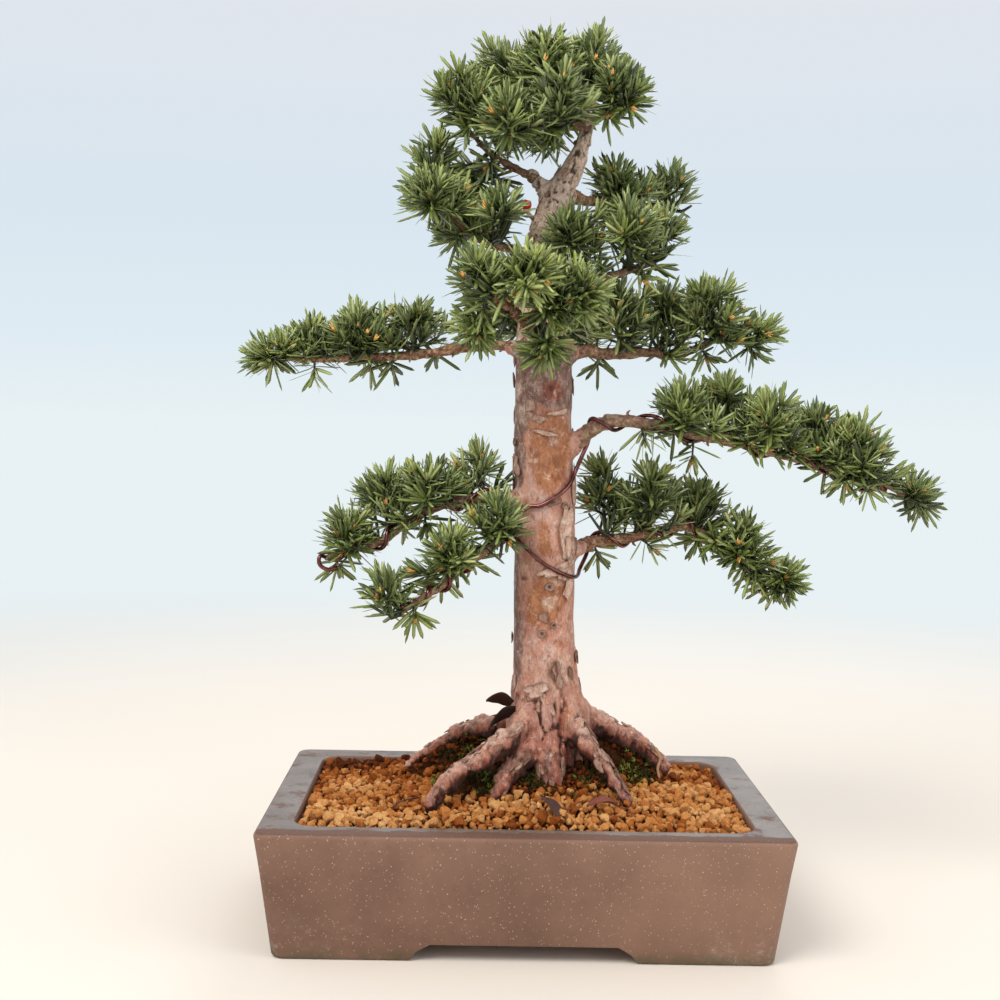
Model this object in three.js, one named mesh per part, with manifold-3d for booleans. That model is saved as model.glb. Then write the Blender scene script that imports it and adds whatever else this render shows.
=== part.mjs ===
// A Japanese yew bonsai in a rectangular unglazed pot, in millimetres with +Z up.
// The front of the tree looks along -Y. The tree is one solid, each leafy spray is one,
// and the foliage is laid out in lobes, each a small ellipsoid that one spray fills.
import * as THREE from "three";
import { mergeVertices } from "three/addons/utils/BufferGeometryUtils.js";
import Module from "manifold-3d";

const wasm = await Module();
wasm.setup();
const { Manifold, Mesh: SolidMesh } = wasm;

// Driving dimensions of the pot. The origin of every table below is the middle of its foot plane.
const POT = { width: 350, depth: 245, height: 84, taper: 11, corner: 9 };
const RIM = { width: 23, thickness: 13, corner: 17, round: 3 };
const POT_WALL = 10;
const FOOT_HEIGHT = 11;
const FLOOR_THICKNESS = 9;
const FRONT_CUTOUT = { half: 74, slope: 13 };
const SIDE_CUTOUT = { half: 50, slope: 12 };
const DRAIN = { radius: 12, offset: 52, sides: 12 };
const SCREEN = { size: 36, thickness: 1.2, bars: 2, barWidth: 4 };

// Driving dimensions of the soil: its edge lies under the rim and it rises to the trunk.
const SOIL = { edge: 80.5, rise: 18.5, spread: 78, centreX: 14, columns: 25, rows: 17 };
const GRAIN_RELIEF = 1.8;

// Clear space that touching pieces keep, and the length of the edges a solid does without.
const GAP = 0.3;
const SLIVER = 0.04;

// The yew's needles, twigs and shoots.
const NEEDLE = { length: 18, root: 1.7, pitch: 5.2, angles: [74, 34] };
const TWIG = { stem: 2, fork: 1.5, tip: 1.1, start: 0.3 };
const SHOOT = { count: 4, bare: 0.3, inset: 11, apart: 2.6 };

// Centre line and radius of the trunk: [x, y, z, radius].
const TRUNK = [
  [17, 2, 62, 27],
  [17, 1, 100, 29],
  [17, 0, 125, 27],
  [17, 0, 145, 24.5],
  [15, 0, 168, 23],
  [13, 0, 210, 21.5],
  [13, 0, 262, 21.8],
  [12, 0, 298, 21.5],
  [10, 0, 335, 20.2],
  [9, 0, 390, 20],
  [8, 0, 424, 17.5],
  [9, 0, 455, 15],
  [10, 0, 482, 12.8],
  [15, 0, 504, 10.6],
  [22, 0, 521, 8.4],
  [31, 0, 540, 6.2],
  [37, 0, 560, 4.4],
  [33, 0, 577, 3.2],
];

// Surface roots, from inside the trunk to where each dives into the soil.
const ROOTS = {
  left_front: [
    [12, -6, 152, 12], [-4, -28, 133, 8.6], [-30, -50, 118, 6.6], [-54, -63, 104, 5.4],
    [-64, -68, 88, 4],
  ],
  left_back: [
    [8, 8, 148, 11], [-12, 23, 128, 7.4], [-40, 33, 120, 6], [-64, 39, 105, 4.4], [-88, 37, 88, 3],
  ],
  front_left: [[12, -10, 138, 11], [0, -32, 116, 8], [-14, -42, 100, 6.6], [-20, -46, 84, 5]],
  front: [[17, -8, 140, 13], [18, -26, 116, 11], [18, -34, 92, 9]],
  right_front: [
    [24, -6, 148, 10], [38, -22, 132, 7.6], [51, -38, 117, 5.8], [62, -47, 104, 4.4], [72, -53, 88, 3],
  ],
  right: [
    [24, 2, 154, 12], [48, 9, 137, 8.8], [69, 14, 127, 7.6], [90, 17, 114, 6.2], [108, 18, 96, 4.6],
  ],
  right_back: [[22, 10, 142, 12], [42, 34, 118, 8], [58, 52, 102, 5.4], [70, 64, 86, 3.6]],
  back: [[14, 12, 146, 12], [8, 36, 124, 8.4], [0, 58, 108, 6], [-8, 76, 88, 3.8]],
};

// Branches, from inside the trunk to the tip.
const BRANCHES = {
  left_high: [
    [4, 0, 394, 7], [-15, -4, 402, 4.2], [-43, -8, 401, 3.6], [-71, -10, 396, 3.2], [-94, -10, 393, 2.9],
    [-123, -8, 392, 2.5], [-150, -6, 390, 2.1], [-181, -2, 391, 1.6],
  ],
  right_high: [
    [14, 2, 394, 7], [38, 8, 400, 4.6], [59, 12, 399, 4], [84, 16, 401, 3.5], [104, 18, 399, 3],
    [120, 17, 405, 2.5], [137, 14, 412, 2.1], [157, 12, 412, 1.7],
  ],
  right_mid: [
    [16, 0, 322, 8], [30, -8, 334, 6], [44, -14, 345, 5.2], [58, -16, 351, 4.7], [87, -17, 349, 4.1],
    [119, -16, 342, 3.7], [147, -15, 337, 3.3], [174, -14, 330, 2.9], [202, -12, 324, 2.6],
    [230, -10, 316, 2.2], [256, -8, 308, 1.8], [274, -6, 299, 1.4],
  ],
  right_low: [
    [16, 3, 248, 7], [37, 11, 259, 5.2], [52, 16, 264, 4.4], [76, 20, 267, 3.9], [99, 22, 272, 3.6],
    [118, 22, 276, 3.3], [134, 20, 268, 2.9], [150, 17, 259, 2.5], [168, 13, 247, 2.1],
    [184, 9, 239, 1.7],
  ],
  left_low_back: [
    [6, -4, 292, 7], [-14, -12, 296, 4.6], [-44, -14, 293, 3.8], [-69, -10, 286, 3.2],
    [-88, -8, 275, 2.8],
    [-102, -8, 263, 2.5], [-122, -8, 257, 2.1], [-143, -8, 250, 1.7],
  ],
  left_low_front: [
    [6, -8, 284, 6], [-13, -24, 276, 3.8], [-35, -38, 256, 3.1], [-49, -46, 247, 2.7],
    [-60, -52, 236, 2.4],
    [-72, -57, 229, 2.1], [-86, -62, 219, 1.6],
  ],
  front: [
    [9, -2, 394, 7], [4, -30, 406, 4.8], [-4, -52, 415, 4.2], [-12, -68, 420, 3.4], [-21, -84, 425, 2.4],
    [-28, -94, 429, 1.7],
  ],
  front_fork: [[-6, -56, 417, 2.8], [4, -74, 425, 2.4], [14, -88, 430, 1.6]],
  back: [
    [10, 2, 400, 7], [15, 38, 415, 4.8], [18, 74, 425, 3.8], [14, 104, 432, 2.8], [18, 130, 440, 1.8],
  ],
  left_up: [
    [9, 0, 456, 6.5], [-10, -6, 468, 3.8], [-32, -10, 474, 3.2], [-52, -12, 486, 2.6],
    [-64, -12, 502, 2.1], [-70, -12, 516, 1.5],
  ],
  left_up_inner: [
    [15, 0, 508, 5], [-2, 3, 522, 3.2], [-18, 6, 530, 2.6], [-34, 4, 540, 2.2], [-47, 0, 553, 1.6],
  ],
  right_up_low: [
    [11, 0, 440, 6], [30, -9, 447, 3.6], [48, -14, 451, 3], [68, -16, 456, 2.4], [86, -14, 464, 1.6],
  ],
  right_up_back: [
    [18, 2, 510, 5.5], [40, 19, 508, 3.4], [62, 31, 508, 2.8], [86, 40, 509, 2.2], [104, 45, 508, 1.5],
  ],
  crown_left: [
    [36, 0, 556, 3.8], [17, -12, 557, 3.2], [-3, -20, 554, 2.8], [-24, -20, 553, 2.3],
    [-44, -14, 558, 1.5],
  ],
  crown_right: [[37, 0, 560, 3.8], [48, -4, 568, 2.8], [58, -10, 572, 1.8]],
  crown_top: [[35, 0, 570, 3.4], [22, -2, 583, 2.7], [6, -6, 586, 2.1], [-16, 12, 584, 1.5]],
  crown_back: [[34, 0, 574, 3.2], [32, 22, 582, 2.5], [20, 44, 583, 1.7]],
  aril_twig: [[12, 0, 484, 3], [1, -5, 490, 1.6], [-5.4, -7.8, 496.2, 1.2]],
};

// Leafy lobes on each branch: x, y and z of the middle, then half the width, depth and height to the
// needle tips.
const LOBES = {
  left_high: [
    [-183, 0, 391, 21, 18, 13], [-156, 8, 402, 26, 32, 19], [-122, -8, 406, 27, 38, 23],
    [-83, 8, 413, 32, 42, 26],
  ],
  front: [
    [-37, -85, 443, 24, 28, 20], [-37, -70, 411, 19, 26, 20],
  ],
  front_fork: [[-5, -97, 443, 24, 32, 21], [26, -80, 432, 24, 30, 24], [7, -74, 400, 22, 26, 18]],
  right_high: [
    [63, 0, 424, 26, 38, 27], [97, 30, 428, 28, 36, 28], [126, -4, 429, 27, 40, 27],
    [158, 14, 413, 26, 30, 20],
  ],
  right_up_back: [[60, 36, 518, 25, 32, 27], [100, 48, 518, 28, 32, 22]],
  right_up_low: [[24, -32, 476, 25, 28, 20], [63, -38, 480, 27, 32, 25], [92, -10, 480, 25, 32, 24]],
  left_up: [
    [-68, -6, 529, 22, 32, 23], [-72, -31, 501, 23, 30, 20], [-50, 14, 487, 25, 30, 21],
    [-24, -36, 491, 21, 28, 21],
  ],
  left_up_inner: [[-41, 18, 523, 28, 34, 20]],
  crown_left: [[-51, -8, 572, 30, 36, 24], [-19, -42, 553, 25, 30, 23], [16, -50, 562, 26, 30, 26]],
  crown_top: [[-26, 22, 596, 29, 36, 29], [5, -14, 598, 28, 38, 25]],
  crown_right: [[56, -14, 579, 27, 36, 24]],
  crown_back: [[41, 16, 604, 29, 38, 28], [16, 54, 590, 34, 32, 28]],
  right_mid: [
    [105, -16, 356, 27, 34, 28], [142, 12, 361, 29, 38, 26], [167, -30, 350, 26, 36, 26],
    [205, 4, 342, 29, 38, 27], [230, -18, 331, 27, 34, 29], [275, -5, 301, 23, 24, 21],
  ],
  right_low: [
    [57, 26, 295, 23, 34, 31], [88, 6, 298, 27, 38, 27], [127, 34, 289, 25, 32, 22],
    [156, 10, 261, 26, 32, 26], [184, 4, 238, 18, 22, 18],
  ],
  left_low_back: [
    [-127, -8, 263, 26, 32, 23], [-102, 10, 290, 27, 34, 24], [-68, -20, 302, 25, 34, 22],
    [-34, 0, 309, 28, 38, 25],
  ],
  left_low_front: [[-21, -40, 282, 23, 28, 25], [-54, -50, 257, 24, 28, 22], [-93, -65, 227, 27, 26, 26]],
  back: [[30, 78, 418, 32, 32, 26], [-12, 104, 427, 33, 34, 25], [24, 136, 451, 34, 32, 27]],
};

// Two copper-coloured training wires. Each winds in along one branch, crosses the front of the trunk
// and winds out along another. Places along a branch run from 0 to 1, link points are
// [angle round the trunk in degrees, height], and the phase is the angle a coil starts at.
const WIRE = { radius: 1.5, sides: 5, stepsPerTurn: 8, clear: 1.1 };
const WIRES = {
  wire_upper: {
    from: { branch: "right_mid", start: 0.91, end: 0.115, turns: -5, phase: 190 },
    link: [[-24, 315], [-48, 305], [-72, 298], [-100, 291], [-122, 291]],
    to: { branch: "left_low_front", start: 0.15, end: 0.98, turns: -4, phase: 330 },
  },
  wire_lower: {
    from: { branch: "right_low", start: 0.93, end: 0.16, turns: -5, phase: 190 },
    link: [
      [8, 244], [-10, 242], [-32, 240], [-81, 247], [-115, 257], [-148, 267], [-172, 273], [-186, 281],
    ],
    to: { branch: "left_low_back", start: 0.15, end: 0.98, turns: -4, phase: 120 },
  },
};

const ARIL = { radius: 4, length: 7, hole: 2, at: [-6, -8, 497] };

// A seeded generator of numbers from 0 to 1, the mulberry32 rule.
function seeded(seed) {
  let state = seed >>> 0;
  return () => {
    state = (state + 0x6d2b79f5) >>> 0;
    let t = Math.imul(state ^ (state >>> 15), state | 1);
    t ^= t + Math.imul(t ^ (t >>> 7), t | 61);
    return ((t ^ (t >>> 14)) >>> 0) / 4294967296;
  };
}

const vec = (row) => new THREE.Vector3(row[0], row[1], row[2]);
const radians = (degrees) => (degrees * Math.PI) / 180;

// A closed solid from a flat list of points and triangles, turned to face out.
function solidFrom(vertices, triangles) {
  const make = (triVerts) =>
    new Manifold(new SolidMesh({ numProp: 3, vertProperties: Float32Array.from(vertices), triVerts }));
  const made = make(Uint32Array.from(triangles));
  if (made.volume() > 0) return made;
  return make(Uint32Array.from(triangles).reverse());
}

// A closed solid from one of three's own geometries.
function solidOf(geometry) {
  const bare = geometry.index ? geometry.toNonIndexed() : geometry.clone();
  bare.deleteAttribute("normal");
  bare.deleteAttribute("uv");
  const merged = mergeVertices(bare, 1e-4);
  return solidFrom(merged.attributes.position.array, merged.index.array);
}

// A solid through rings that all have the same number of points, with flat ends.
function loft(rings) {
  const count = rings[0].length;
  const vertices = rings.flat().flatMap((p) => [p.x, p.y, p.z]);
  const triangles = [];
  rings.slice(1).forEach((_, ring) => {
    for (let i = 0; i < count; i++) {
      const a = ring * count + i;
      const b = ring * count + ((i + 1) % count);
      triangles.push(a, b, a + count, b, b + count, a + count);
    }
  });
  const top = (rings.length - 1) * count;
  for (let i = 1; i < count - 1; i++) {
    triangles.push(0, i + 1, i);
    triangles.push(top, top + i, top + i + 1);
  }
  return solidFrom(vertices, triangles);
}

// Two directions square to a third, the first of them level.
function sidesOf(direction) {
  const level = new THREE.Vector3(-direction.y, direction.x, 0).normalize();
  return [level, direction.clone().cross(level)];
}

// Tangent, normal and binormal at each point of a line, turned as little as can be from one to the next.
function framesAlong(points) {
  const last = points.length - 1;
  const frames = [];
  let normal = null;
  points.forEach((_, i) => {
    const tangent = points[Math.min(i + 1, last)].clone().sub(points[Math.max(i - 1, 0)]).normalize();
    const first = Math.abs(tangent.z) < 0.9 ? new THREE.Vector3(0, 0, 1) : new THREE.Vector3(1, 0, 0);
    const side = normal || first;
    normal = side.clone().addScaledVector(tangent, -side.dot(tangent)).normalize();
    frames.push({ tangent, normal, binormal: tangent.clone().cross(normal) });
  });
  return frames;
}

// A tapered tube through the points, with a radius at each of them.
function tube(points, radii, sides) {
  const frames = framesAlong(points);
  return loft(
    points.map((point, i) =>
      Array.from({ length: sides }, (_, k) => {
        const angle = (2 * Math.PI * k) / sides;
        return point
          .clone()
          .addScaledVector(frames[i].normal, radii[i] * Math.cos(angle))
          .addScaledVector(frames[i].binormal, radii[i] * Math.sin(angle));
      }),
    ),
  );
}

// A limb's centre line as a smooth curve, its radius along it, and a frame to place things round it.
class Limb {
  constructor(rows) {
    this.rows = rows;
    this.curve = new THREE.CatmullRomCurve3(rows.map(vec), false, "centripetal");
    this.samples = this.curve.getPoints(Limb.SAMPLES);
    this.frames = framesAlong(this.samples);
  }

  static SAMPLES = 120;

  // t runs from 0 to 1 over the rows.
  radius(t) {
    const place = t * (this.rows.length - 1);
    const low = Math.min(Math.floor(place), this.rows.length - 2);
    return THREE.MathUtils.lerp(this.rows[low][3], this.rows[low + 1][3], place - low);
  }

  around(t, angle, distance) {
    const index = Math.round(t * Limb.SAMPLES);
    const { normal, binormal } = this.frames[index];
    return this.curve
      .getPoint(t)
      .addScaledVector(normal, distance * Math.cos(angle))
      .addScaledVector(binormal, distance * Math.sin(angle));
  }

  closest(point) {
    const distances = this.samples.map((p) => p.distanceTo(point));
    return distances.indexOf(Math.min(...distances)) / Limb.SAMPLES;
  }
}

const limbs = Object.fromEntries(Object.entries(BRANCHES).map(([name, rows]) => [name, new Limb(rows)]));

// The trunk, roots and branches as one solid, each limb thicker and longer by grow.
function treeSolid(grow) {
  const limb = (rows, sides) => {
    const points = rows.map(vec);
    points.at(-1).add(points.at(-1).clone().sub(points.at(-2)).setLength(grow));
    return tube(points, rows.map((row) => row[3] + grow), sides);
  };
  return Manifold.union([
    limb(TRUNK, 12),
    ...Object.values(ROOTS).map((rows) => limb(rows, 7)),
    ...Object.values(BRANCHES).map((rows) => limb(rows, 6)),
  ]);
}

// Every placed stick and needle is kept as a tapered segment, so that the next ones stay clear of it.
const placed = [];

function place(owner, a, b, radiusA, radiusB) {
  placed.push({ owner, a, b, radiusA, radiusB, along: b.clone().sub(a) });
}

// True if the tapered segment from a to b stays clear of everything placed, but for owners that
// start with one of the names in skip.
function isClear(a, b, radiusA, radiusB, skip) {
  const offset = new THREE.Vector3();
  const probe = new THREE.Vector3();
  const reach = a.distanceTo(b);
  const steps = Math.ceil(reach / 1.2);
  for (const other of placed) {
    if (skip.some((name) => other.owner.startsWith(name))) continue;
    if (offset.subVectors(a, other.a).length() > reach + other.along.length() + 2 * radiusA + 8) continue;
    for (let i = 0; i <= steps; i++) {
      probe.lerpVectors(a, b, i / steps);
      offset.subVectors(probe, other.a);
      const t = THREE.MathUtils.clamp(offset.dot(other.along) / other.along.lengthSq(), 0, 1);
      const distance = offset.addScaledVector(other.along, -t).length();
      const own = THREE.MathUtils.lerp(radiusA, radiusB, i / steps);
      if (distance < own + THREE.MathUtils.lerp(other.radiusA, other.radiusB, t) + GAP) return false;
    }
  }
  return true;
}

function placeLimb(owner, rows) {
  rows.slice(1).forEach((row, i) => place(owner, vec(rows[i]), vec(row), rows[i][3], row[3]));
}

// Points of a coil round a branch, a fixed clear distance off its bark.
function coil({ branch, start, end, turns, phase }) {
  const limb = limbs[branch];
  const steps = Math.abs(turns) * WIRE.stepsPerTurn;
  const chord = Math.cos(Math.PI / WIRE.stepsPerTurn);
  return Array.from({ length: steps + 1 }, (_, i) => {
    const t = THREE.MathUtils.lerp(start, end, i / steps);
    const angle = radians(phase) + (2 * Math.PI * turns * i) / steps;
    return limb.around(t, angle, (limb.radius(t) + WIRE.clear + WIRE.radius) / chord);
  });
}

function trunkAt(height) {
  const above = TRUNK.findIndex((row) => row[2] > height);
  const [low, high] = [TRUNK[above - 1], TRUNK[above]];
  const t = (height - low[2]) / (high[2] - low[2]);
  return low.map((value, i) => THREE.MathUtils.lerp(value, high[i], t));
}

// The link points with more between them, so that no straight part spans over 16 degrees.
function finer(link) {
  return link.flatMap((point, i) => {
    if (i === 0) return [point];
    const before = link[i - 1];
    const steps = Math.ceil(Math.abs(point[0] - before[0]) / 16);
    return Array.from({ length: steps }, (_, k) =>
      point.map((value, axis) => THREE.MathUtils.lerp(before[axis], value, (k + 1) / steps)),
    );
  });
}

function wirePath({ from, link, to }) {
  const across = finer(link).map(([angle, height]) => {
    const [x, y, , radius] = trunkAt(height);
    const distance = (radius + WIRE.clear + WIRE.radius) * 1.015;
    const turn = radians(angle);
    return new THREE.Vector3(x + distance * Math.cos(turn), y + distance * Math.sin(turn), height);
  });
  return [...coil(from), ...across, ...coil(to)];
}

// A unit vector at an angle from an axis, turned round it.
function tilted({ tangent, normal, binormal }, turn, angle) {
  return tangent
    .clone()
    .multiplyScalar(Math.cos(angle))
    .addScaledVector(normal, Math.sin(angle) * Math.cos(turn))
    .addScaledVector(binormal, Math.sin(angle) * Math.sin(turn));
}

// Turns aside and leans, in radians, that a needle tries to find room.
const NEEDLE_TRIES = [[0, 0], [0.2, 0], [-0.2, 0], [0, -0.25], [0.3, -0.2], [-0.3, -0.2], [0, 0.2]];

// The tip of a needle on a face, or null if there is no room for one.
function needleTip(owner, face, frame, turn, angle, length) {
  const root = face.reduce((sum, p) => sum.add(p), new THREE.Vector3()).divideScalar(3);
  for (const [aside, lean] of NEEDLE_TRIES) {
    const direction = tilted(frame, turn + aside, angle + lean);
    const start = root.clone().addScaledVector(direction, 0.5);
    const tip = root.clone().addScaledVector(direction, length);
    if (!isClear(start, tip, NEEDLE.root, 0.2, [owner])) continue;
    place(owner, start, tip, NEEDLE.root, 0.2);
    return tip;
  }
  return null;
}

// A shoot as one solid: a three-sided stick of turned rings, with needles drawn out of its side faces
// and out of its end. Its first part is bare, and starts with the stem's own ring if it grows out of one.
function shootSolid({ owner, stem, from, to }, random) {
  const frame = framesAlong([from, to])[0];
  const leafy = (1 - SHOOT.bare) * from.distanceTo(to);
  const steps = THREE.MathUtils.clamp(Math.round(leafy / NEEDLE.pitch), 2, 3);
  const stations = Array.from({ length: steps + 1 }, (_, i) => {
    const share = THREE.MathUtils.lerp(SHOOT.bare, 1, i / steps);
    return [from.clone().lerp(to, share), THREE.MathUtils.lerp(TWIG.fork, TWIG.tip, share)];
  });
  stations.unshift(stem ? [stem, TWIG.stem] : [from, TWIG.start]);
  if (stem) stations.splice(1, 0, [from, TWIG.fork]);
  const bare = stations.length - steps - 1;
  const rings = stations.map(([centre, radius], i) =>
    [0, 1, 2].map((k) => {
      const turn = (2 * Math.PI * k) / 3 + (Math.PI / 3) * i;
      return centre.clone().add(tilted(frame, turn, Math.PI / 2).multiplyScalar(radius));
    }),
  );
  const vertices = rings.flat();
  const triangles = [[0, 2, 1]];
  const leaf = (face, turn, share, length) => {
    const angle = turn === null ? 0 : radians(THREE.MathUtils.lerp(...NEEDLE.angles, share));
    const tip = needleTip(owner, face.map((i) => vertices[i]), frame, turn, angle, length);
    if (!tip) return [face];
    const [p, q, r] = face;
    const top = vertices.push(tip) - 1;
    return [[p, q, top], [q, r, top], [r, p, top]];
  };
  for (let i = 0; i < rings.length - 1; i++) {
    for (let k = 0; k < 3; k++) {
      const [a, b] = [3 * i + k, 3 * i + ((k + 1) % 3)];
      const [c, d] = [a + 3, b + 3];
      const turn = (2 * Math.PI * k) / 3 + (Math.PI / 3) * (i + 1);
      const length = NEEDLE.length * (0.9 + 0.2 * random());
      const share = (i - bare) / (steps - 1);
      triangles.push(...(i < bare ? [[a, b, c]] : leaf([a, b, c], turn, share, length)));
      triangles.push([c, b, d]);
    }
  }
  const end = 3 * (rings.length - 1);
  triangles.push(...leaf([end, end + 1, end + 2], null, 1, NEEDLE.length * 0.8));
  return solidFrom(vertices.flatMap((p) => [p.x, p.y, p.z]), triangles.flat());
}

// The stem of a spray: from the middle of its branch, where it has room, to the fork.
function stemTo(owner, limb, fork) {
  const nearest = limb.closest(fork);
  for (const shift of [0, 0.02, -0.02, 0.04, -0.04, 0.07, -0.07, 0.1, -0.1]) {
    const t = THREE.MathUtils.clamp(nearest + shift, 0, 1);
    const root = limb.curve.getPoint(t);
    const direction = fork.clone().sub(root).normalize();
    const start = root.clone().addScaledVector(direction, limb.radius(t) + 1.5);
    if (isClear(start, fork, TWIG.stem, TWIG.fork, [owner, "tree"])) return root;
  }
  return limb.curve.getPoint(nearest);
}

// The way a spray leads: on from the end of its branch, down if it hangs, and else up.
function leadOf(limb, centre) {
  const t = limb.closest(centre);
  const offset = centre.clone().sub(limb.curve.getPoint(t));
  if (t > 0.98 && (offset.length() < 6 || Math.hypot(offset.x, offset.y) > Math.abs(offset.z))) {
    return limb.frames.at(-1).tangent;
  }
  return new THREE.Vector3(0, 0, offset.z < -8 ? -1 : 1);
}

// How far the surface of a lobe lies from its middle in some direction.
function lobeReach([, , , halfX, halfY, halfZ], direction) {
  return 1 / Math.hypot(direction.x / halfX, direction.y / halfY, direction.z / halfZ);
}

// The wood of a spray: its stem, and shoots that spread from a fork near the branch over the lobe.
function twigs(owner, branch, lobe, random) {
  const limb = limbs[branch];
  const centre = vec(lobe);
  const lead = leadOf(limb, centre);
  const plumb = [new THREE.Vector3(1, 0, 0), new THREE.Vector3(0, 1, 0)];
  const [across, aside] = Math.abs(lead.z) === 1 ? plumb : sidesOf(lead);
  const fork = centre.clone().addScaledVector(lead, -0.42 * lobeReach(lobe, lead));
  const onBranch = limb.curve.getPoint(limb.closest(fork));
  const clear = limb.radius(limb.closest(fork)) + 6;
  if (fork.distanceTo(onBranch) < clear) fork.copy(onBranch).addScaledVector(lead, clear);
  const root = stemTo(owner, limb, fork);
  place(owner, root, fork, TWIG.stem, TWIG.fork);

  const shoots = [];
  const phase = random() * 2 * Math.PI;
  let start = fork;
  for (let k = 0; k < SHOOT.count; k++) {
    const outer = k > 0;
    for (let attempt = 0; attempt < 9; attempt++) {
      const angle = phase + (2 * Math.PI * k) / (SHOOT.count - 1) + attempt * 0.35;
      const way = across.clone().multiplyScalar(Math.cos(angle)).addScaledVector(aside, Math.sin(angle));
      const share = outer ? 1 - 0.06 * attempt : 0.15 + 0.08 * attempt;
      const spread = share * Math.max(lobeReach(lobe, way) - SHOOT.inset, 9);
      const height = lobeReach(lobe, lead);
      const low = start.clone().sub(centre).dot(lead) + (outer ? -0.4 * height : 6);
      const rise = Math.max(outer ? (0.2 - 0.8 * random()) * height : height - SHOOT.inset, low);
      const tip = centre.clone().addScaledVector(way, spread).addScaledVector(lead, rise);
      const clearStart = start.clone().lerp(tip, 0.15);
      const last = !outer && attempt === 8;
      if (!last && !isClear(clearStart, tip, TWIG.fork, TWIG.tip, [owner])) continue;
      const shoot = { owner: owner + " shoot " + k, stem: outer ? null : root, from: start, to: tip };
      place(shoot.owner, clearStart, tip, TWIG.fork, TWIG.tip);
      shoots.push(shoot);
      break;
    }
    const upright = shoots[0].to.clone().sub(fork).normalize();
    start = fork.clone().addScaledVector(upright, SHOOT.apart * k + 0.8);
  }
  return shoots;
}

// The largest body of a solid that a cut may have left in several.
function largest(solid) {
  return solid.decompose().reduce((best, body) => (body.volume() > best.volume() ? body : best));
}

// A rectangle with rounded corners at one height, anticlockwise from above.
function roundedRing(halfX, halfY, corner, z, steps = 4) {
  const centres = [[1, 1], [-1, 1], [-1, -1], [1, -1]];
  return centres.flatMap(([signX, signY], quarter) =>
    Array.from({ length: steps + 1 }, (_, i) => {
      const angle = (Math.PI / 2) * (quarter + i / steps);
      return new THREE.Vector3(
        signX * (halfX - corner) + corner * Math.cos(angle),
        signY * (halfY - corner) + corner * Math.sin(angle),
        z,
      );
    }),
  );
}

function block(low, high) {
  const size = high.map((value, i) => value - low[i]);
  const geometry = new THREE.BoxGeometry(...size).translate(...low.map((value, i) => value + size[i] / 2));
  return solidOf(geometry);
}

// The space inside the pot: a chamber and the narrower mouth inside the rim, smaller all round by shrink.
function cavity(shrink) {
  const floor = FOOT_HEIGHT + FLOOR_THICKNESS;
  const ledge = POT.height - RIM.thickness;
  const slope = (z) => (POT.taper * (POT.height - z)) / POT.height;
  const ring = (inset, corner, z, at) => {
    const inward = slope(at) + inset + shrink;
    return roundedRing(POT.width / 2 - inward, POT.depth / 2 - inward, corner, z);
  };
  const chamber = loft([
    ring(POT_WALL, 14, floor + shrink, floor),
    ring(POT_WALL, 14, ledge - 5 - shrink, ledge),
    ring(POT_WALL + 5, 14, ledge - shrink, ledge),
  ]);
  const mouth = loft([
    ring(RIM.width, RIM.corner, ledge - 8, POT.height),
    ring(RIM.width, RIM.corner, POT.height - 2, POT.height),
    ring(RIM.width - 1.5, RIM.corner, POT.height + 20, POT.height),
  ]);
  return Manifold.union([chamber, mouth]);
}

// A channel under the pot between its feet, with sloped ends, along Y or along X.
function footChannel({ half, slope }, alongY) {
  const reach = POT.width;
  const outline = new THREE.Shape();
  outline.moveTo(-half - slope * 0.2, -5);
  outline.lineTo(-half, 0);
  outline.lineTo(-half + slope * 0.35, FOOT_HEIGHT * 0.55);
  outline.lineTo(-half + slope, FOOT_HEIGHT);
  outline.lineTo(half - slope, FOOT_HEIGHT);
  outline.lineTo(half - slope * 0.35, FOOT_HEIGHT * 0.55);
  outline.lineTo(half, 0);
  outline.lineTo(half + slope * 0.2, -5);
  const geometry = new THREE.ExtrudeGeometry(outline, { depth: reach, bevelEnabled: false });
  geometry.translate(0, 0, -reach / 2).rotateX(Math.PI / 2);
  if (!alongY) geometry.rotateZ(Math.PI / 2);
  return solidOf(geometry);
}

function potSolid() {
  const [halfX, halfY] = [POT.width / 2, POT.depth / 2];
  const body = loft([
    roundedRing(halfX - POT.taper - 1, halfY - POT.taper - 1, POT.corner, 0),
    roundedRing(halfX - POT.taper, halfY - POT.taper, POT.corner, 1.5),
    roundedRing(halfX, halfY, POT.corner, POT.height - RIM.round),
    roundedRing(halfX - 0.3 * RIM.round, halfY - 0.3 * RIM.round, POT.corner, POT.height - 0.3 * RIM.round),
    roundedRing(halfX - RIM.round, halfY - RIM.round, POT.corner - 1, POT.height),
  ]);
  const drains = [-1, 1].map((side) =>
    solidOf(
      new THREE.CylinderGeometry(DRAIN.radius, DRAIN.radius, 60, DRAIN.sides)
        .rotateX(Math.PI / 2)
        .translate(side * DRAIN.offset, 0, 0),
    ),
  );
  return Manifold.difference([
    body,
    cavity(0),
    footChannel(FRONT_CUTOUT, true),
    footChannel(SIDE_CUTOUT, false),
    ...drains,
  ]);
}

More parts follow.
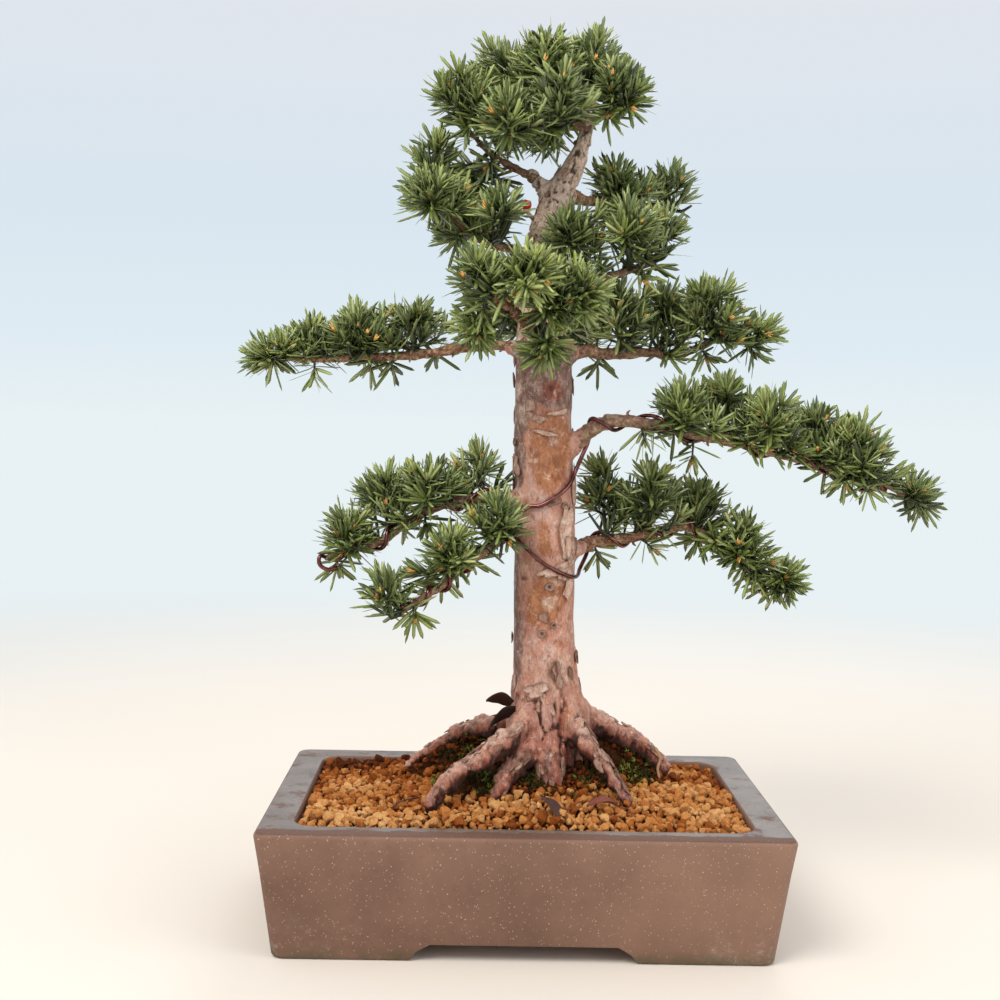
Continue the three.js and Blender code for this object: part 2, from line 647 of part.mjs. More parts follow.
// A square plastic screen over a drain hole, with a grid of openings.
function screenSolid(side, grow) {
  const bottom = FOOT_HEIGHT + FLOOR_THICKNESS + GAP - grow;
  const half = SCREEN.size / 2 + grow;
  const x = side * DRAIN.offset;
  const plate = block([x - half, -half, bottom], [x + half, half, bottom + SCREEN.thickness + 2 * grow]);
  if (grow) return plate;
  const pitch = (SCREEN.size - SCREEN.barWidth) / SCREEN.bars;
  const holes = [];
  for (let i = 0; i < SCREEN.bars; i++) {
    for (let j = 0; j < SCREEN.bars; j++) {
      const low = [x - half + SCREEN.barWidth + i * pitch, -half + SCREEN.barWidth + j * pitch];
      const size = pitch - SCREEN.barWidth;
      holes.push(block([low[0], low[1], 0], [low[0] + size, low[1] + size, POT.height]));
    }
  }
  return Manifold.difference([plate, ...holes]);
}

// Height of the soil's grainy top.
function soilHeight(x, y, random) {
  const distance = Math.hypot((x - SOIL.centreX) / 1.25, y);
  const mound = SOIL.rise * Math.exp(-((distance / SOIL.spread) ** 2));
  return SOIL.edge + mound + GRAIN_RELIEF * (random() * 2 - 1);
}

// The soil: a grid of grains cut to the pot's inside, with a plain hole where the tree stands.
function soilSolid(tree) {
  const random = seeded(11);
  const { columns, rows } = SOIL;
  const vertices = [];
  const triangles = [];
  const at = (layer, i, j) => (layer * rows + j) * columns + i;
  for (const layer of [0, 1]) {
    for (let j = 0; j < rows; j++) {
      for (let i = 0; i < columns; i++) {
        const stray = layer && i > 0 && j > 0 && i < columns - 1 && j < rows - 1 ? 0.5 : 0;
        const x = ((i + stray * (random() - 0.5)) / (columns - 1) - 0.5) * POT.width;
        const y = ((j + stray * (random() - 0.5)) / (rows - 1) - 0.5) * POT.depth;
        vertices.push(x, y, layer ? soilHeight(x, y, random) : 0);
      }
    }
  }
  for (let j = 0; j < rows - 1; j++) {
    for (let i = 0; i < columns - 1; i++) {
      const [a, b, c, d] = [at(1, i, j), at(1, i + 1, j), at(1, i + 1, j + 1), at(1, i, j + 1)];
      triangles.push(...((i + j) % 2 ? [a, b, c, a, c, d] : [a, b, d, b, c, d]));
      const [e, f, g, h] = [at(0, i, j), at(0, i + 1, j), at(0, i + 1, j + 1), at(0, i, j + 1)];
      triangles.push(e, g, f, e, h, g);
    }
  }
  const [east, north] = [columns - 1, rows - 1];
  const edge = [
    ...Array.from({ length: east }, (_, i) => [i, 0, i + 1, 0]),
    ...Array.from({ length: north }, (_, j) => [east, j, east, j + 1]),
    ...Array.from({ length: east }, (_, i) => [east - i, north, east - 1 - i, north]),
    ...Array.from({ length: north }, (_, j) => [0, north - j, 0, north - 1 - j]),
  ];
  edge.forEach(([i0, j0, i1, j1]) => {
    const [a, b, c, d] = [at(0, i0, j0), at(0, i1, j1), at(1, i1, j1), at(1, i0, j0)];
    triangles.push(a, b, c, a, c, d);
  });
  const filled = solidFrom(vertices, triangles).intersect(cavity(GAP));
  return largest(Manifold.difference([filled, tree, screenSolid(-1, GAP), screenSolid(1, GAP)]));
}

// A ripe aril: a fleshy cup on the end of its twig, with its open end up.
function arilSolid() {
  const { radius, length, hole } = ARIL;
  const profile = [
    [0, 0], [radius * 0.62, 0.6], [radius, length * 0.42], [radius * 0.92, length * 0.8],
    [radius * 0.62, length], [hole, length * 0.9], [hole * 0.8, length * 0.45], [0, length * 0.4],
  ];
  const lathe = new THREE.LatheGeometry(profile.map(([r, h]) => new THREE.Vector2(r, h)), 10);
  return solidOf(lathe.rotateX(Math.PI / 2).translate(...ARIL.at));
}

function material(color, roughness, metalness = 0) {
  return new THREE.MeshStandardMaterial({ color, roughness, metalness });
}

const MATERIALS = {
  pot: material(0x6b5248, 0.62),
  soil: material(0xa9672f, 0.95),
  bark: material(0xa8765f, 0.85),
  wire: material(0x6a3230, 0.32, 0.85),
  screen: material(0x20221f, 0.6),
  needles: material(0x35552f, 0.5),
  aril: material(0xc0221c, 0.3),
};

const group = new THREE.Group();

// Adds a solid to the group, without edges too short to matter.
function addMesh(name, solid, look) {
  const { vertProperties, triVerts, numProp } = solid.simplify(SLIVER).getMesh();
  const geometry = new THREE.BufferGeometry();
  geometry.setAttribute("position", new THREE.BufferAttribute(new Float32Array(vertProperties), numProp));
  geometry.setIndex(new THREE.BufferAttribute(new Uint32Array(triVerts), 1));
  geometry.computeVertexNormals();
  const mesh = new THREE.Mesh(geometry, look);
  mesh.name = name;
  group.add(mesh);
}

const tree = treeSolid(0);
const treeWithGap = treeSolid(GAP + 0.1);
[TRUNK, ...Object.values(ROOTS), ...Object.values(BRANCHES)].forEach((rows) => placeLimb("tree", rows));

addMesh("pot", potSolid(), MATERIALS.pot);
addMesh("drain_screen_left", screenSolid(-1, 0), MATERIALS.screen);
addMesh("drain_screen_right", screenSolid(1, 0), MATERIALS.screen);
addMesh("soil", soilSolid(treeWithGap), MATERIALS.soil);
addMesh("tree", tree, MATERIALS.bark);

for (const [name, route] of Object.entries(WIRES)) {
  const path = wirePath(route);
  const wire = tube(path, path.map(() => WIRE.radius), WIRE.sides);
  path.slice(1).forEach((point, i) => place(name, path[i], point, WIRE.radius, WIRE.radius));
  addMesh(name, largest(wire.subtract(treeWithGap)), MATERIALS.wire);
}

addMesh("aril", arilSolid(), MATERIALS.aril);

// All the wood of the sprays is laid out before the first needle.
const sprays = Object.entries(LOBES).flatMap(([branch, lobes], row) =>
  lobes.map((lobe, i) => {
    const name = "spray_" + branch + "_" + (i + 1);
    const random = seeded(100 + 10 * row + i);
    return { name, random, shoots: twigs(name, branch, lobe, random) };
  }),
);

for (const { name, shoots, random } of sprays) {
  const solid = Manifold.union(shoots.map((shoot) => shootSolid(shoot, random)));
  addMesh(name, largest(solid.subtract(treeWithGap)), MATERIALS.needles);
}

// The origin goes below the middle of the whole, at the height of the feet.
const bounds = new THREE.Box3().setFromObject(group);
const middle = bounds.getCenter(new THREE.Vector3());
group.children.forEach((mesh) => mesh.geometry.translate(-middle.x, -middle.y, -bounds.min.z));

export default group;
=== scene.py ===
"""A Japanese yew bonsai in a rectangular unglazed pot. Tables and shapes are in millimetres from the
middle of the pot's foot plane, with +Z up and the front of the tree along -Y."""

import math

import bmesh
import bpy
import numpy as np
from mathutils import Matrix, Vector


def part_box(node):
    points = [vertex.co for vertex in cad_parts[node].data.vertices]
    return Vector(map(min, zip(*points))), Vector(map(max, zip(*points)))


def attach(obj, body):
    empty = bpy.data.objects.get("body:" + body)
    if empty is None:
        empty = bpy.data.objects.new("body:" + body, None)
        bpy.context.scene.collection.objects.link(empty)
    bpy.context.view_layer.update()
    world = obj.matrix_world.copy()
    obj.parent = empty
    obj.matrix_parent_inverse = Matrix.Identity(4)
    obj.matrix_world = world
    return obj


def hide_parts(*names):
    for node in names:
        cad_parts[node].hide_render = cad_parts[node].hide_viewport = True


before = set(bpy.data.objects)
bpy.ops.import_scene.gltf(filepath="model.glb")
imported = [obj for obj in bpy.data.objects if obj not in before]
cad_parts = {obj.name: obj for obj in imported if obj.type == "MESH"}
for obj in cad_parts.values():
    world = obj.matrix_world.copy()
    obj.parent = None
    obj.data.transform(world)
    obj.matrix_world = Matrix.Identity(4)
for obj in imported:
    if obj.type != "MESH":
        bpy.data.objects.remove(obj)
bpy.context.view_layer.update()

low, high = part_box("pot")
ORIGIN = np.array([(low.x + high.x) * 500, (low.y + high.y) * 500, 0])

# The pot: its body, rim and walls, each cutout between the feet as half its length and its slope, and
# the drain holes
POT = {"width": 350, "depth": 245, "height": 84, "taper": 11, "corner": 9}
RIM = {"width": 23, "thickness": 13, "corner": 17, "round": 3}
POT_WALL, FOOT_HEIGHT, FLOOR_THICKNESS = 10, 11, 9
FRONT_CUTOUT, SIDE_CUTOUT = (74, 13), (50, 12)
DRAIN_RADIUS, DRAIN_OFFSET = 12, 52
HALF_X, HALF_Y = POT["width"] / 2, POT["depth"] / 2
MOUTH_X, MOUTH_Y = HALF_X - RIM["width"], HALF_Y - RIM["width"]
POT_FLOOR = FOOT_HEIGHT + FLOOR_THICKNESS

SOIL = {"edge": 80.5, "rise": 18.5, "spread": 78, "centre": 14}

# Humps of dark earth on the soil: height, middle and reach along X and Y
MOUNDS = [(27, 12, 0, 42.5, 34), (32, 60, 16, 32, 15), (33, -38, 34, 36, 15), (12, -30, -38, 24, 11)]

# Places of moss besides those all round the trunk
CUSHIONS = [
    (-18, -40), (-36, -38), (-46, -24), (8, -40), (44, -36), (74, -2), (88, 2), (60, -16), (-58, -6),
    (-26, 6), (-38, 14), (-30, 24), (-52, 22), (80, -4), (-24, -42), (-42, 46), (-26, 50), (-58, 46),
    (56, 32), (72, 28),
]

# Plates of bark that show in front: angle, height, half sizes, curl, seed, lean and shade
FRONT_PLATES = [
    (-50, 275, 5.8, 21, 1.7, 1, 0.06), (-44, 261, 5, 9, 1.9, 2), (-72, 246, 12, 4.2, 1.9, 3, -0.35),
    (-52, 243, 7, 5, 1.6, 11, -0.2), (-46, 231, 3.4, 9, 1.8, 4, 0.25),
    (-92, 342, 9, 1.8, 0.8, 12, 0.2, 0.15), (-60, 356, 9, 2.0, 0.9, 13, -0.15, 0.1),
    (-118, 358, 4, 7, 1.2, 5, 0, 0.2), (-105, 352, 6.5, 3, 0.8, 6, 0.3, 0.3),
    (-108, 161, 8.5, 5, 1.9, 7, -0.4, 0.15), (-92, 153, 2.6, 8, 1.6, 8, -0.5),
    (-128, 150, 3, 8, 1.5, 9, 0.1, 0.35), (-70, 172, 4, 9, 1.2, 10, -0.1, 0.5),
]

# Knots on the trunk: angle, height and half size
KNOTS = [
    (-83, 234, 3.6), (-96, 201, 3.4), (-80, 294, 4.4), (-52, 291, 3.2), (-131, 239, 1.4), (-74, 207, 2.6),
    (40, 262, 4), (120, 330, 3.4), (95, 214, 4), (170, 280, 3),
]

WIRE_RADIUS, WIRE_CLEAR = 1.5, 0.8
ARIL_FOOT = np.array([-6, -8, 497])

# How far inside a lobe's surface its shoots end, and the turn from one needle or shoot to the next
SHOOT_INSET = 13
GOLDEN_TURN = 2.39996

# Kinds of shoots: the radius at the base, the share of it that is bare and the number of needles
SHOOTS = {"stem": (2.0, 0.6, 22), "low": (1.0, 0.3, 14), "tip": (1.15, None, 20)}

# Stations of a needle and of a bud scale, from root to tip: place along it and share of its width
NEEDLE_SHAPE = np.array([[0, 0.35], [0.28, 0.95], [0.84, 0.9]])
SCALE_SHAPE = np.array([[0, 0.6], [0.45, 1.0]])

# The backdrop's colour where it meets the floor
HORIZON = (232, 241, 244)

# The order of corners that turns a quad over
FLIPPED = [0, 3, 2, 1]

# Centre lines and radii: x, y, z, radius
TRUNK = [
    [17, 2, 62, 27], [17, 1, 100, 29], [17, 0, 125, 27], [17, 0, 145, 24.5], [15, 0, 168, 23],
    [13, 0, 210, 21.5], [13, 0, 262, 21.8], [12, 0, 298, 21.5], [10, 0, 335, 20.2], [9, 0, 390, 20],
    [8, 0, 424, 17.5], [9, 0, 455, 15], [10, 0, 482, 12.8], [15, 0, 504, 10.6], [22, 0, 521, 8.4],
    [31, 0, 540, 6.2], [37, 0, 560, 4.4], [33, 0, 577, 3.2],
]
ROOTS = {
    "left_front": [
        [12, -6, 152, 12], [-4, -28, 133, 8.6], [-30, -50, 118, 6.6], [-54, -63, 104, 5.4],
        [-64, -68, 88, 4],
    ],
    "left_back": [
        [8, 8, 148, 11], [-12, 23, 128, 7.4], [-40, 33, 120, 6], [-64, 39, 105, 4.4], [-88, 37, 88, 3],
    ],
    "front_left": [[12, -10, 138, 11], [0, -32, 116, 8], [-14, -42, 100, 6.6], [-20, -46, 84, 5]],
    "front": [[17, -8, 140, 13], [18, -26, 116, 11], [18, -34, 92, 9]],
    "right_front": [
        [24, -6, 148, 10], [38, -22, 132, 7.6], [51, -38, 117, 5.8], [62, -47, 104, 4.4],
        [72, -53, 88, 3],
    ],
    "right": [
        [24, 2, 152, 12], [48, 9, 134, 8.8], [69, 14, 124, 7.6], [90, 17, 112, 6.2], [108, 18, 96, 4.6],
    ],
    "right_back": [[22, 10, 142, 12], [42, 34, 118, 8], [58, 52, 102, 5.4], [70, 64, 86, 3.6]],
    "back": [[14, 12, 146, 12], [8, 36, 124, 8.4], [0, 58, 108, 6], [-8, 76, 88, 3.8]],
}
BRANCHES = {
    "left_high": [
        [4, 0, 394, 7], [-15, -4, 402, 4.2], [-43, -8, 401, 3.6], [-71, -10, 396, 3.2],
        [-94, -10, 393, 2.9], [-123, -8, 392, 2.5], [-150, -6, 390, 2.1], [-181, -2, 391, 1.6],
    ],
    "right_high": [
        [14, 2, 394, 7], [38, 8, 400, 4.6], [59, 12, 399, 4], [84, 16, 401, 3.5], [104, 18, 399, 3],
        [120, 17, 405, 2.5], [137, 14, 412, 2.1], [157, 12, 412, 1.7],
    ],
    "right_mid": [
        [16, 0, 322, 8], [30, -8, 334, 6], [44, -14, 345, 5.2], [58, -16, 351, 4.7],
        [87, -17, 349, 4.1], [119, -16, 342, 3.7], [147, -15, 337, 3.3], [174, -14, 330, 2.9],
        [202, -12, 324, 2.6], [230, -10, 316, 2.2], [256, -8, 308, 1.8], [274, -6, 299, 1.4],
    ],
    "right_low": [
        [16, 3, 248, 7], [37, 11, 259, 5.2], [52, 16, 264, 4.4], [76, 20, 267, 3.9], [99, 22, 272, 3.6],
        [118, 22, 276, 3.3], [134, 20, 268, 2.9], [150, 17, 259, 2.5], [168, 13, 247, 2.1],
        [184, 9, 239, 1.7],
    ],
    "left_low_back": [
        [6, -4, 292, 7], [-14, -12, 296, 4.6], [-44, -14, 293, 3.8], [-69, -10, 286, 3.2],
        [-88, -8, 275, 2.8], [-102, -8, 263, 2.5], [-122, -8, 257, 2.1], [-143, -8, 250, 1.7],
    ],
    "left_low_front": [
        [6, -8, 284, 6], [-13, -24, 276, 3.8], [-35, -38, 256, 3.1], [-49, -46, 247, 2.7],
        [-60, -52, 236, 2.4], [-72, -57, 229, 2.1], [-86, -62, 219, 1.6],
    ],
    "front": [
        [9, -2, 394, 7], [4, -30, 406, 4.8], [-4, -52, 415, 4.2], [-12, -68, 420, 3.4],
        [-21, -84, 425, 2.4], [-28, -94, 429, 1.7],
    ],
    "front_fork": [[-6, -56, 417, 2.8], [4, -74, 425, 2.4], [14, -88, 430, 1.6]],
    "back": [
        [10, 2, 400, 7], [15, 38, 415, 4.8], [18, 74, 425, 3.8], [14, 104, 432, 2.8],
        [18, 130, 440, 1.8],
    ],
    "left_up": [
        [9, 0, 456, 6.5], [-10, -6, 468, 3.8], [-32, -10, 474, 3.2], [-52, -12, 486, 2.6],
        [-64, -12, 502, 2.1], [-70, -12, 516, 1.5],
    ],
    "left_up_inner": [
        [15, 0, 508, 5], [-2, 3, 522, 3.2], [-18, 6, 530, 2.6], [-34, 4, 540, 2.2], [-47, 0, 553, 1.6],
    ],
    "right_up_low": [
        [11, 0, 440, 6], [30, -9, 447, 3.6], [48, -14, 451, 3], [68, -16, 456, 2.4], [86, -14, 464, 1.6],
    ],
    "right_up_back": [
        [18, 2, 510, 5.5], [40, 19, 508, 3.4], [62, 31, 508, 2.8], [86, 40, 509, 2.2],
        [104, 45, 508, 1.5],
    ],
    "crown_left": [
        [36, 0, 556, 3.8], [17, -12, 557, 3.2], [-3, -20, 554, 2.8], [-24, -20, 553, 2.3],
        [-44, -14, 558, 1.5],
    ],
    "crown_right": [[37, 0, 560, 3.8], [48, -4, 568, 2.8], [58, -10, 572, 1.8]],
    "crown_top": [[35, 0, 570, 3.4], [22, -2, 583, 2.7], [6, -6, 586, 2.1], [-16, 12, 584, 1.5]],
    "crown_back": [[34, 0, 574, 3.2], [32, 22, 582, 2.5], [20, 44, 583, 1.7]],
    "aril_twig": [[12, 0, 484, 3], [1, -5, 490, 1.6], [-5.4, -7.8, 496.2, 1.2]],
}

# Leafy lobes on each branch: the middle, half the sizes to the needle tips, and how fresh its green is
LOBES = {
    "left_high": [
        [-183, 0, 391, 21, 18, 13, 0.3], [-156, 8, 402, 26, 32, 19, 0.3],
        [-122, -8, 406, 27, 38, 23, 0.15], [-83, 8, 413, 32, 42, 26, 0.2],
    ],
    "front": [[-37, -85, 443, 24, 28, 20, 0.85], [-37, -70, 411, 19, 26, 20, 0.4]],
    "front_fork": [
        [-5, -97, 443, 24, 32, 21, 0.75], [26, -80, 432, 24, 30, 24, 0.45],
        [7, -74, 400, 22, 26, 18, 0.25],
    ],
    "right_high": [
        [63, 0, 424, 26, 38, 27, 0.2], [97, 30, 428, 28, 36, 28, 0.3],
        [126, -4, 429, 27, 40, 27, 0.55], [158, 14, 413, 26, 30, 20, 0.4],
    ],
    "right_up_back": [[60, 36, 518, 25, 32, 27, 0.15], [100, 48, 518, 28, 32, 22, 0.25]],
    "right_up_low": [
        [24, -32, 476, 25, 28, 20, 0.35], [63, -38, 480, 27, 32, 25, 0.7], [92, -10, 480, 25, 32, 24, 0.4],
    ],
    "left_up": [
        [-68, -6, 529, 22, 32, 23, 0.55], [-72, -31, 501, 23, 30, 20, 0.3],
        [-50, 14, 487, 25, 30, 21, 0.1], [-24, -36, 491, 21, 28, 21, 0.25],
    ],
    "left_up_inner": [[-41, 18, 523, 28, 34, 20, 0.15]],
    "crown_left": [
        [-51, -8, 572, 30, 36, 24, 0.4], [-19, -42, 553, 25, 30, 23, 0.2], [16, -50, 562, 26, 30, 26, 0.1],
    ],
    "crown_top": [[-26, 22, 596, 29, 36, 29, 0.35], [5, -14, 598, 28, 38, 25, 0.5]],
    "crown_right": [[56, -14, 579, 27, 36, 24, 0.2]],
    "crown_back": [[41, 16, 604, 29, 38, 28, 0.35], [16, 54, 590, 34, 32, 28, 0.2]],
    "right_mid": [
        [105, -16, 356, 27, 34, 28, 0.2], [142, 12, 361, 29, 38, 26, 0.35],
        [167, -30, 350, 26, 36, 26, 0.3], [205, 4, 342, 29, 38, 27, 0.2],
        [230, -18, 331, 27, 34, 29, 0.2], [275, -5, 301, 23, 24, 21, 0.4],
    ],
    "right_low": [
        [57, 26, 295, 23, 34, 31, 0.35], [88, 6, 298, 27, 38, 27, 0.2], [127, 34, 289, 25, 32, 22, 0.25],
        [156, 10, 261, 26, 32, 26, 0.2], [184, 4, 238, 18, 22, 18, 0.5],
    ],
    "left_low_back": [
        [-127, -8, 263, 26, 32, 23, 0.4], [-102, 10, 290, 27, 34, 24, 0.2],
        [-68, -20, 302, 25, 34, 22, 0.15], [-34, 0, 309, 28, 38, 25, 0.2],
    ],
    "left_low_front": [
        [-21, -40, 282, 23, 28, 25, 0.15], [-54, -50, 257, 24, 28, 22, 0.3],
        [-93, -65, 227, 27, 26, 26, 0.45],
    ],
    "back": [
        [30, 78, 418, 32, 32, 26, 0.3], [-12, 104, 427, 33, 34, 25, 0.4], [24, 136, 451, 34, 32, 27, 0.5],
    ],
}
# Training wires: coils along two branches, and the way round the trunk between them as angles and heights
WIRES = {
    "wire_upper": {
        "start": [[233, -13, 306], [244, -12, 306.5]],
        "from": ["right_mid", 0.91, 0.115, -5, 190],
        "link": [[-24, 315], [-48, 305], [-72, 298], [-100, 291], [-122, 291]],
        "to": ["left_low_front", 0.15, 0.98, -4, 330],
        "end": [],
    },
    "wire_lower": {
        "start": [[160, 7, 238], [171, 9, 240.5]],
        "from": ["right_low", 0.93, 0.16, -5, 190],
        "link": [
            [8, 244], [-10, 242], [-32, 240], [-81, 247], [-115, 257], [-148, 267], [-172, 273], [-186, 281],
        ],
        "to": ["left_low_back", 0.15, 0.98, -4, 120],
        "end": [[-146, -13, 252], [-146, -14, 246], [-140, -15, 242.5], [-133, -14, 244]],
    },
}


# Numbers and lines


def unit(vectors):
    """Vectors of an array, scaled to length 1."""
    vectors = np.asarray(vectors, float)
    return vectors / np.maximum(np.linalg.norm(vectors, axis=-1, keepdims=True), 1e-9)


def grain_noise(points, seed=0):
    """Smooth noise from -1 to 1 at each of the points."""
    points = np.asarray(points, float)
    base = np.floor(points).astype(np.int64)
    part = points - base
    part = part * part * (3 - 2 * part)
    total = np.zeros(len(points))
    for corner in np.ndindex(2, 2, 2):
        x, y, z = (base + corner).T
        mixed = x * 374761393 + y * 668265263 + z * 1442695041 + seed * 974634777
        mixed = (mixed ^ (mixed >> 13)) * 1274126177
        value = ((mixed ^ (mixed >> 16)) & 0xFFFF) / 32767.5 - 1
        total += value * np.prod(np.where(corner, part, 1 - part), axis=1)
    return total


def layered_noise(points, size, octaves=3, seed=0):
    """Noise with finer noise on it; size is that of its largest features."""
    points = np.asarray(points, float) / size
    return sum(grain_noise(points * 2**k, seed + k) / 2**k for k in range(octaves))


def ease(value, start, end):
    """0 at the start, 1 at the end and smooth between them; the start may be the larger one."""
    share = np.clip((value - start) / (end - start), 0, 1)
    return share * share * (3 - 2 * share)


def smooth_line(rows, count):
    """Points of a centripetal curve through the rows."""
    points = np.array([row[:3] for row in rows], float)
    points = np.vstack([2 * points[0] - points[1], points, 2 * points[-1] - points[-2]])
    line = []
    for place in np.linspace(0, len(rows) - 1, count + 1):
        k = min(int(place), len(rows) - 2)
        share = place - k
        a, b, c, d = points[k : k + 4]
        steps = [math.sqrt(np.linalg.norm(q - p)) for p, q in ((a, b), (b, c), (c, d))]
        start = ((b - a) / steps[0] - (c - a) / (steps[0] + steps[1])) * steps[1] + c - b
        end = ((d - c) / steps[2] - (d - b) / (steps[1] + steps[2])) * steps[1] + c - b
        curve = -3 * b + 3 * c - 2 * start - end
        turn = 2 * b - 2 * c + start + end
        line.append(b + share * (start + share * (curve + share * turn)))
    return np.array(line)


def line_length(points):
    return np.linalg.norm(np.diff(points, axis=0), axis=1).sum()


def frames_along(points):
    """Tangents, normals and binormals of a line, turned as little as can be."""
    tangents = unit(np.vstack([points[1:], points[-1:]]) - np.vstack([points[:1], points[:-1]]))
    side = np.array([0, 0, 1.0]) if abs(tangents[0][2]) < 0.9 else np.array([1.0, 0, 0])
    normals = []
    for tangent in tangents:
        side = unit(side - (side @ tangent) * tangent)
        normals.append(side)
    normals = np.array(normals)
    return tangents, normals, np.cross(tangents, normals)


def circle(sides):
    return 2 * np.pi * np.arange(sides) / sides


def around(normals, binormals, turns):
    """Directions turned round a line by the angles."""
    return normals * np.cos(turns)[..., None] + binormals * np.sin(turns)[..., None]


class Limb:
    """A branch's centre line, its radius and the frames along it."""

    SAMPLES = 120

    def __init__(self, rows):
        self.points = smooth_line(rows, self.SAMPLES)
        self.length = line_length(self.points)
        places = np.linspace(0, len(rows) - 1, self.SAMPLES + 1)
        self.radii = np.interp(places, range(len(rows)), [row[3] for row in rows])
        self.tangents, self.normals, self.binormals = frames_along(self.points)

    def at(self, share, values=None):
        values = self.points if values is None else values
        place = share * self.SAMPLES
        k = min(int(place), self.SAMPLES - 1)
        return values[k] + (place - k) * (values[k + 1] - values[k])

    def closest(self, point):
        return int(np.argmin(np.linalg.norm(self.points - point, axis=1)))

    def surface(self, share, turn, out):
        """A point off the bark: its place along the limb, the angle round it and the way out."""
        normal, binormal = self.at(share, self.normals), self.at(share, self.binormals)
        away = normal * math.cos(turn) + binormal * math.sin(turn)
        return self.at(share) + unit(away) * (self.at(share, self.radii) + out)


limbs = {name: Limb(rows) for name, rows in BRANCHES.items()}
root_limbs = [Limb(rows) for rows in ROOTS.values()]
trunk_rows = np.array(TRUNK, float)


def trunk_at(height):
    """The middle x, y and the radius of the trunk at a height."""
    return [np.interp(height, trunk_rows[:, 2], trunk_rows[:, k]) for k in (0, 1, 3)]


def on_trunk(angle, height, out=0.0):
    """A point on the trunk's surface, with the angle in degrees from +X and -90 in front."""
    x, y, radius = trunk_at(height)
    turn = math.radians(angle)
    return np.array([x + (radius + out) * math.cos(turn), y + (radius + out) * math.sin(turn), height])


def off_trunk(point):
    """How far a point lies outside the trunk's bark."""
    x, y, radius = trunk_at(point[2])
    return math.hypot(point[0] - x, point[1] - y) - radius


# Building meshes


class Shape:
    """Points, faces and point values gathered for one piece."""

    def __init__(self):
        self.points, self.faces, self.looks, self.smooth, self.values = [], [], [], [], []
        self.count = 0

    def add(self, points, *faces, look=0, smooth=True, **values):
        """Adds points and arrays of faces that number them from 0."""
        points = np.asarray(points, float).reshape(-1, 3)
        self.points.append(points)
        for block in faces:
            block = np.asarray(block, int)
            self.faces.append(block + self.count)
            self.looks.append(np.full(len(block), look))
            self.smooth.append(np.full(len(block), smooth))
        self.values.append({key: np.broadcast_to(value, len(points)) for key, value in values.items()})
        self.count += len(points)

    def piece(self, name, look_names, slot, *replaces):
        """The gathered mesh as a piece of the object."""
        mesh = bpy.data.meshes.new(name)
        points = (np.vstack(self.points) + ORIGIN) / 1000
        corners = np.concatenate([block.ravel() for block in self.faces])
        sizes = np.concatenate([np.full(len(block), block.shape[1]) for block in self.faces])
        mesh.vertices.add(len(points))
        mesh.vertices.foreach_set("co", points.ravel())
        mesh.loops.add(len(corners))
        mesh.loops.foreach_set("vertex_index", corners)
        mesh.polygons.add(len(sizes))
        mesh.polygons.foreach_set("loop_start", np.concatenate([[0], np.cumsum(sizes)[:-1]]))
        mesh.polygons.foreach_set("material_index", np.concatenate(self.looks))
        mesh.polygons.foreach_set("use_smooth", np.concatenate(self.smooth))
        mesh.update(calc_edges=True)
        for key in sorted({key for values in self.values for key in values}):
            parts = [values.get(key, np.zeros(len(part))) for values, part in zip(self.values, self.points)]
            attribute = mesh.attributes.new(key, "FLOAT", "POINT")
            attribute.data.foreach_set("value", np.concatenate(parts).astype(np.float32))
        as_piece(placed(name, mesh), look_names, slot, *replaces)


def placed(name, data):
    """A new object with this data in the scene."""
    obj = bpy.data.objects.new(name, data)
    bpy.context.scene.collection.objects.link(obj)
    return obj


def as_piece(obj, look_names, slot, *replaces):
    """Gives an object its materials, hangs it on the root body and hides the model's parts that it stands
    for.
    """
    obj.data.materials.clear()
    for name in look_names.split():
        obj.data.materials.append(looks[name])
    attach(obj, "root")
    if replaces:
        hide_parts(*replaces)


def walls(rings, sides):
    """Quads that join each of some rings of points to the next."""
    side, after = np.arange(sides), (np.arange(sides) + 1) % sides
    start = np.arange(rings - 1)[:, None] * sides
    quads = [start + side, start + after, start + after + sides, start + side + sides]
    return np.stack(quads, -1).reshape(-1, 4)


def fan(middle, first, sides, turn=1):
    """Triangles from a middle point to the ring of points that begins with first."""
    side = np.arange(sides)
    ring = (first + side, first + (side + 1) % sides)
    return np.stack([np.full(sides, middle), *ring[::turn]], -1)


def closed(body, start, end, sides):
    """Rings of points as a closed body, with one more point in the middle of each end."""
    count = len(body)
    ends = np.vstack([fan(count, 0, sides, -1), fan(count + 1, count - sides, sides)])
    return np.vstack([body, start, end]), walls(count // sides, sides), ends


def slab(rows, columns):
    """Faces of a closed sheet between two grids of points, the upper one first: top, underside and skirt."""
    total = rows * columns
    grid = np.arange(total).reshape(rows, columns)
    a = grid[:-1, :-1].ravel()
    top = np.stack([a, a + 1, a + 1 + columns, a + columns], 1)
    edge = np.concatenate([grid[0], grid[1:, -1], grid[-1, -2::-1], grid[-2:0:-1, 0]])
    after = np.roll(edge, -1)
    return top, top[:, ::-1] + total, np.stack([edge + total, after + total, after, edge], 1)


def tube(points, radii, sides):
    """A closed tube; radii is one value, or one a station, or one for each station and side."""
    points = np.asarray(points, float)
    _, normals, binormals = frames_along(points)
    radii = np.asarray(radii, float)
    radii = np.broadcast_to(radii.reshape(len(points), -1) if radii.ndim else radii, (len(points), sides))
    ring = around(normals[:, None], binormals[:, None], circle(sides))
    return closed((points[:, None] + ring * radii[..., None]).reshape(-1, 3), points[0], points[-1], sides)


def lathe(profile, sides):
    """A closed turned shape about +Z, from radii and heights."""
    body = [[r * math.cos(t), r * math.sin(t), z] for r, z in profile for t in circle(sides)]
    return closed(body, [0, 0, profile[0][1]], [0, 0, profile[-1][1]], sides)


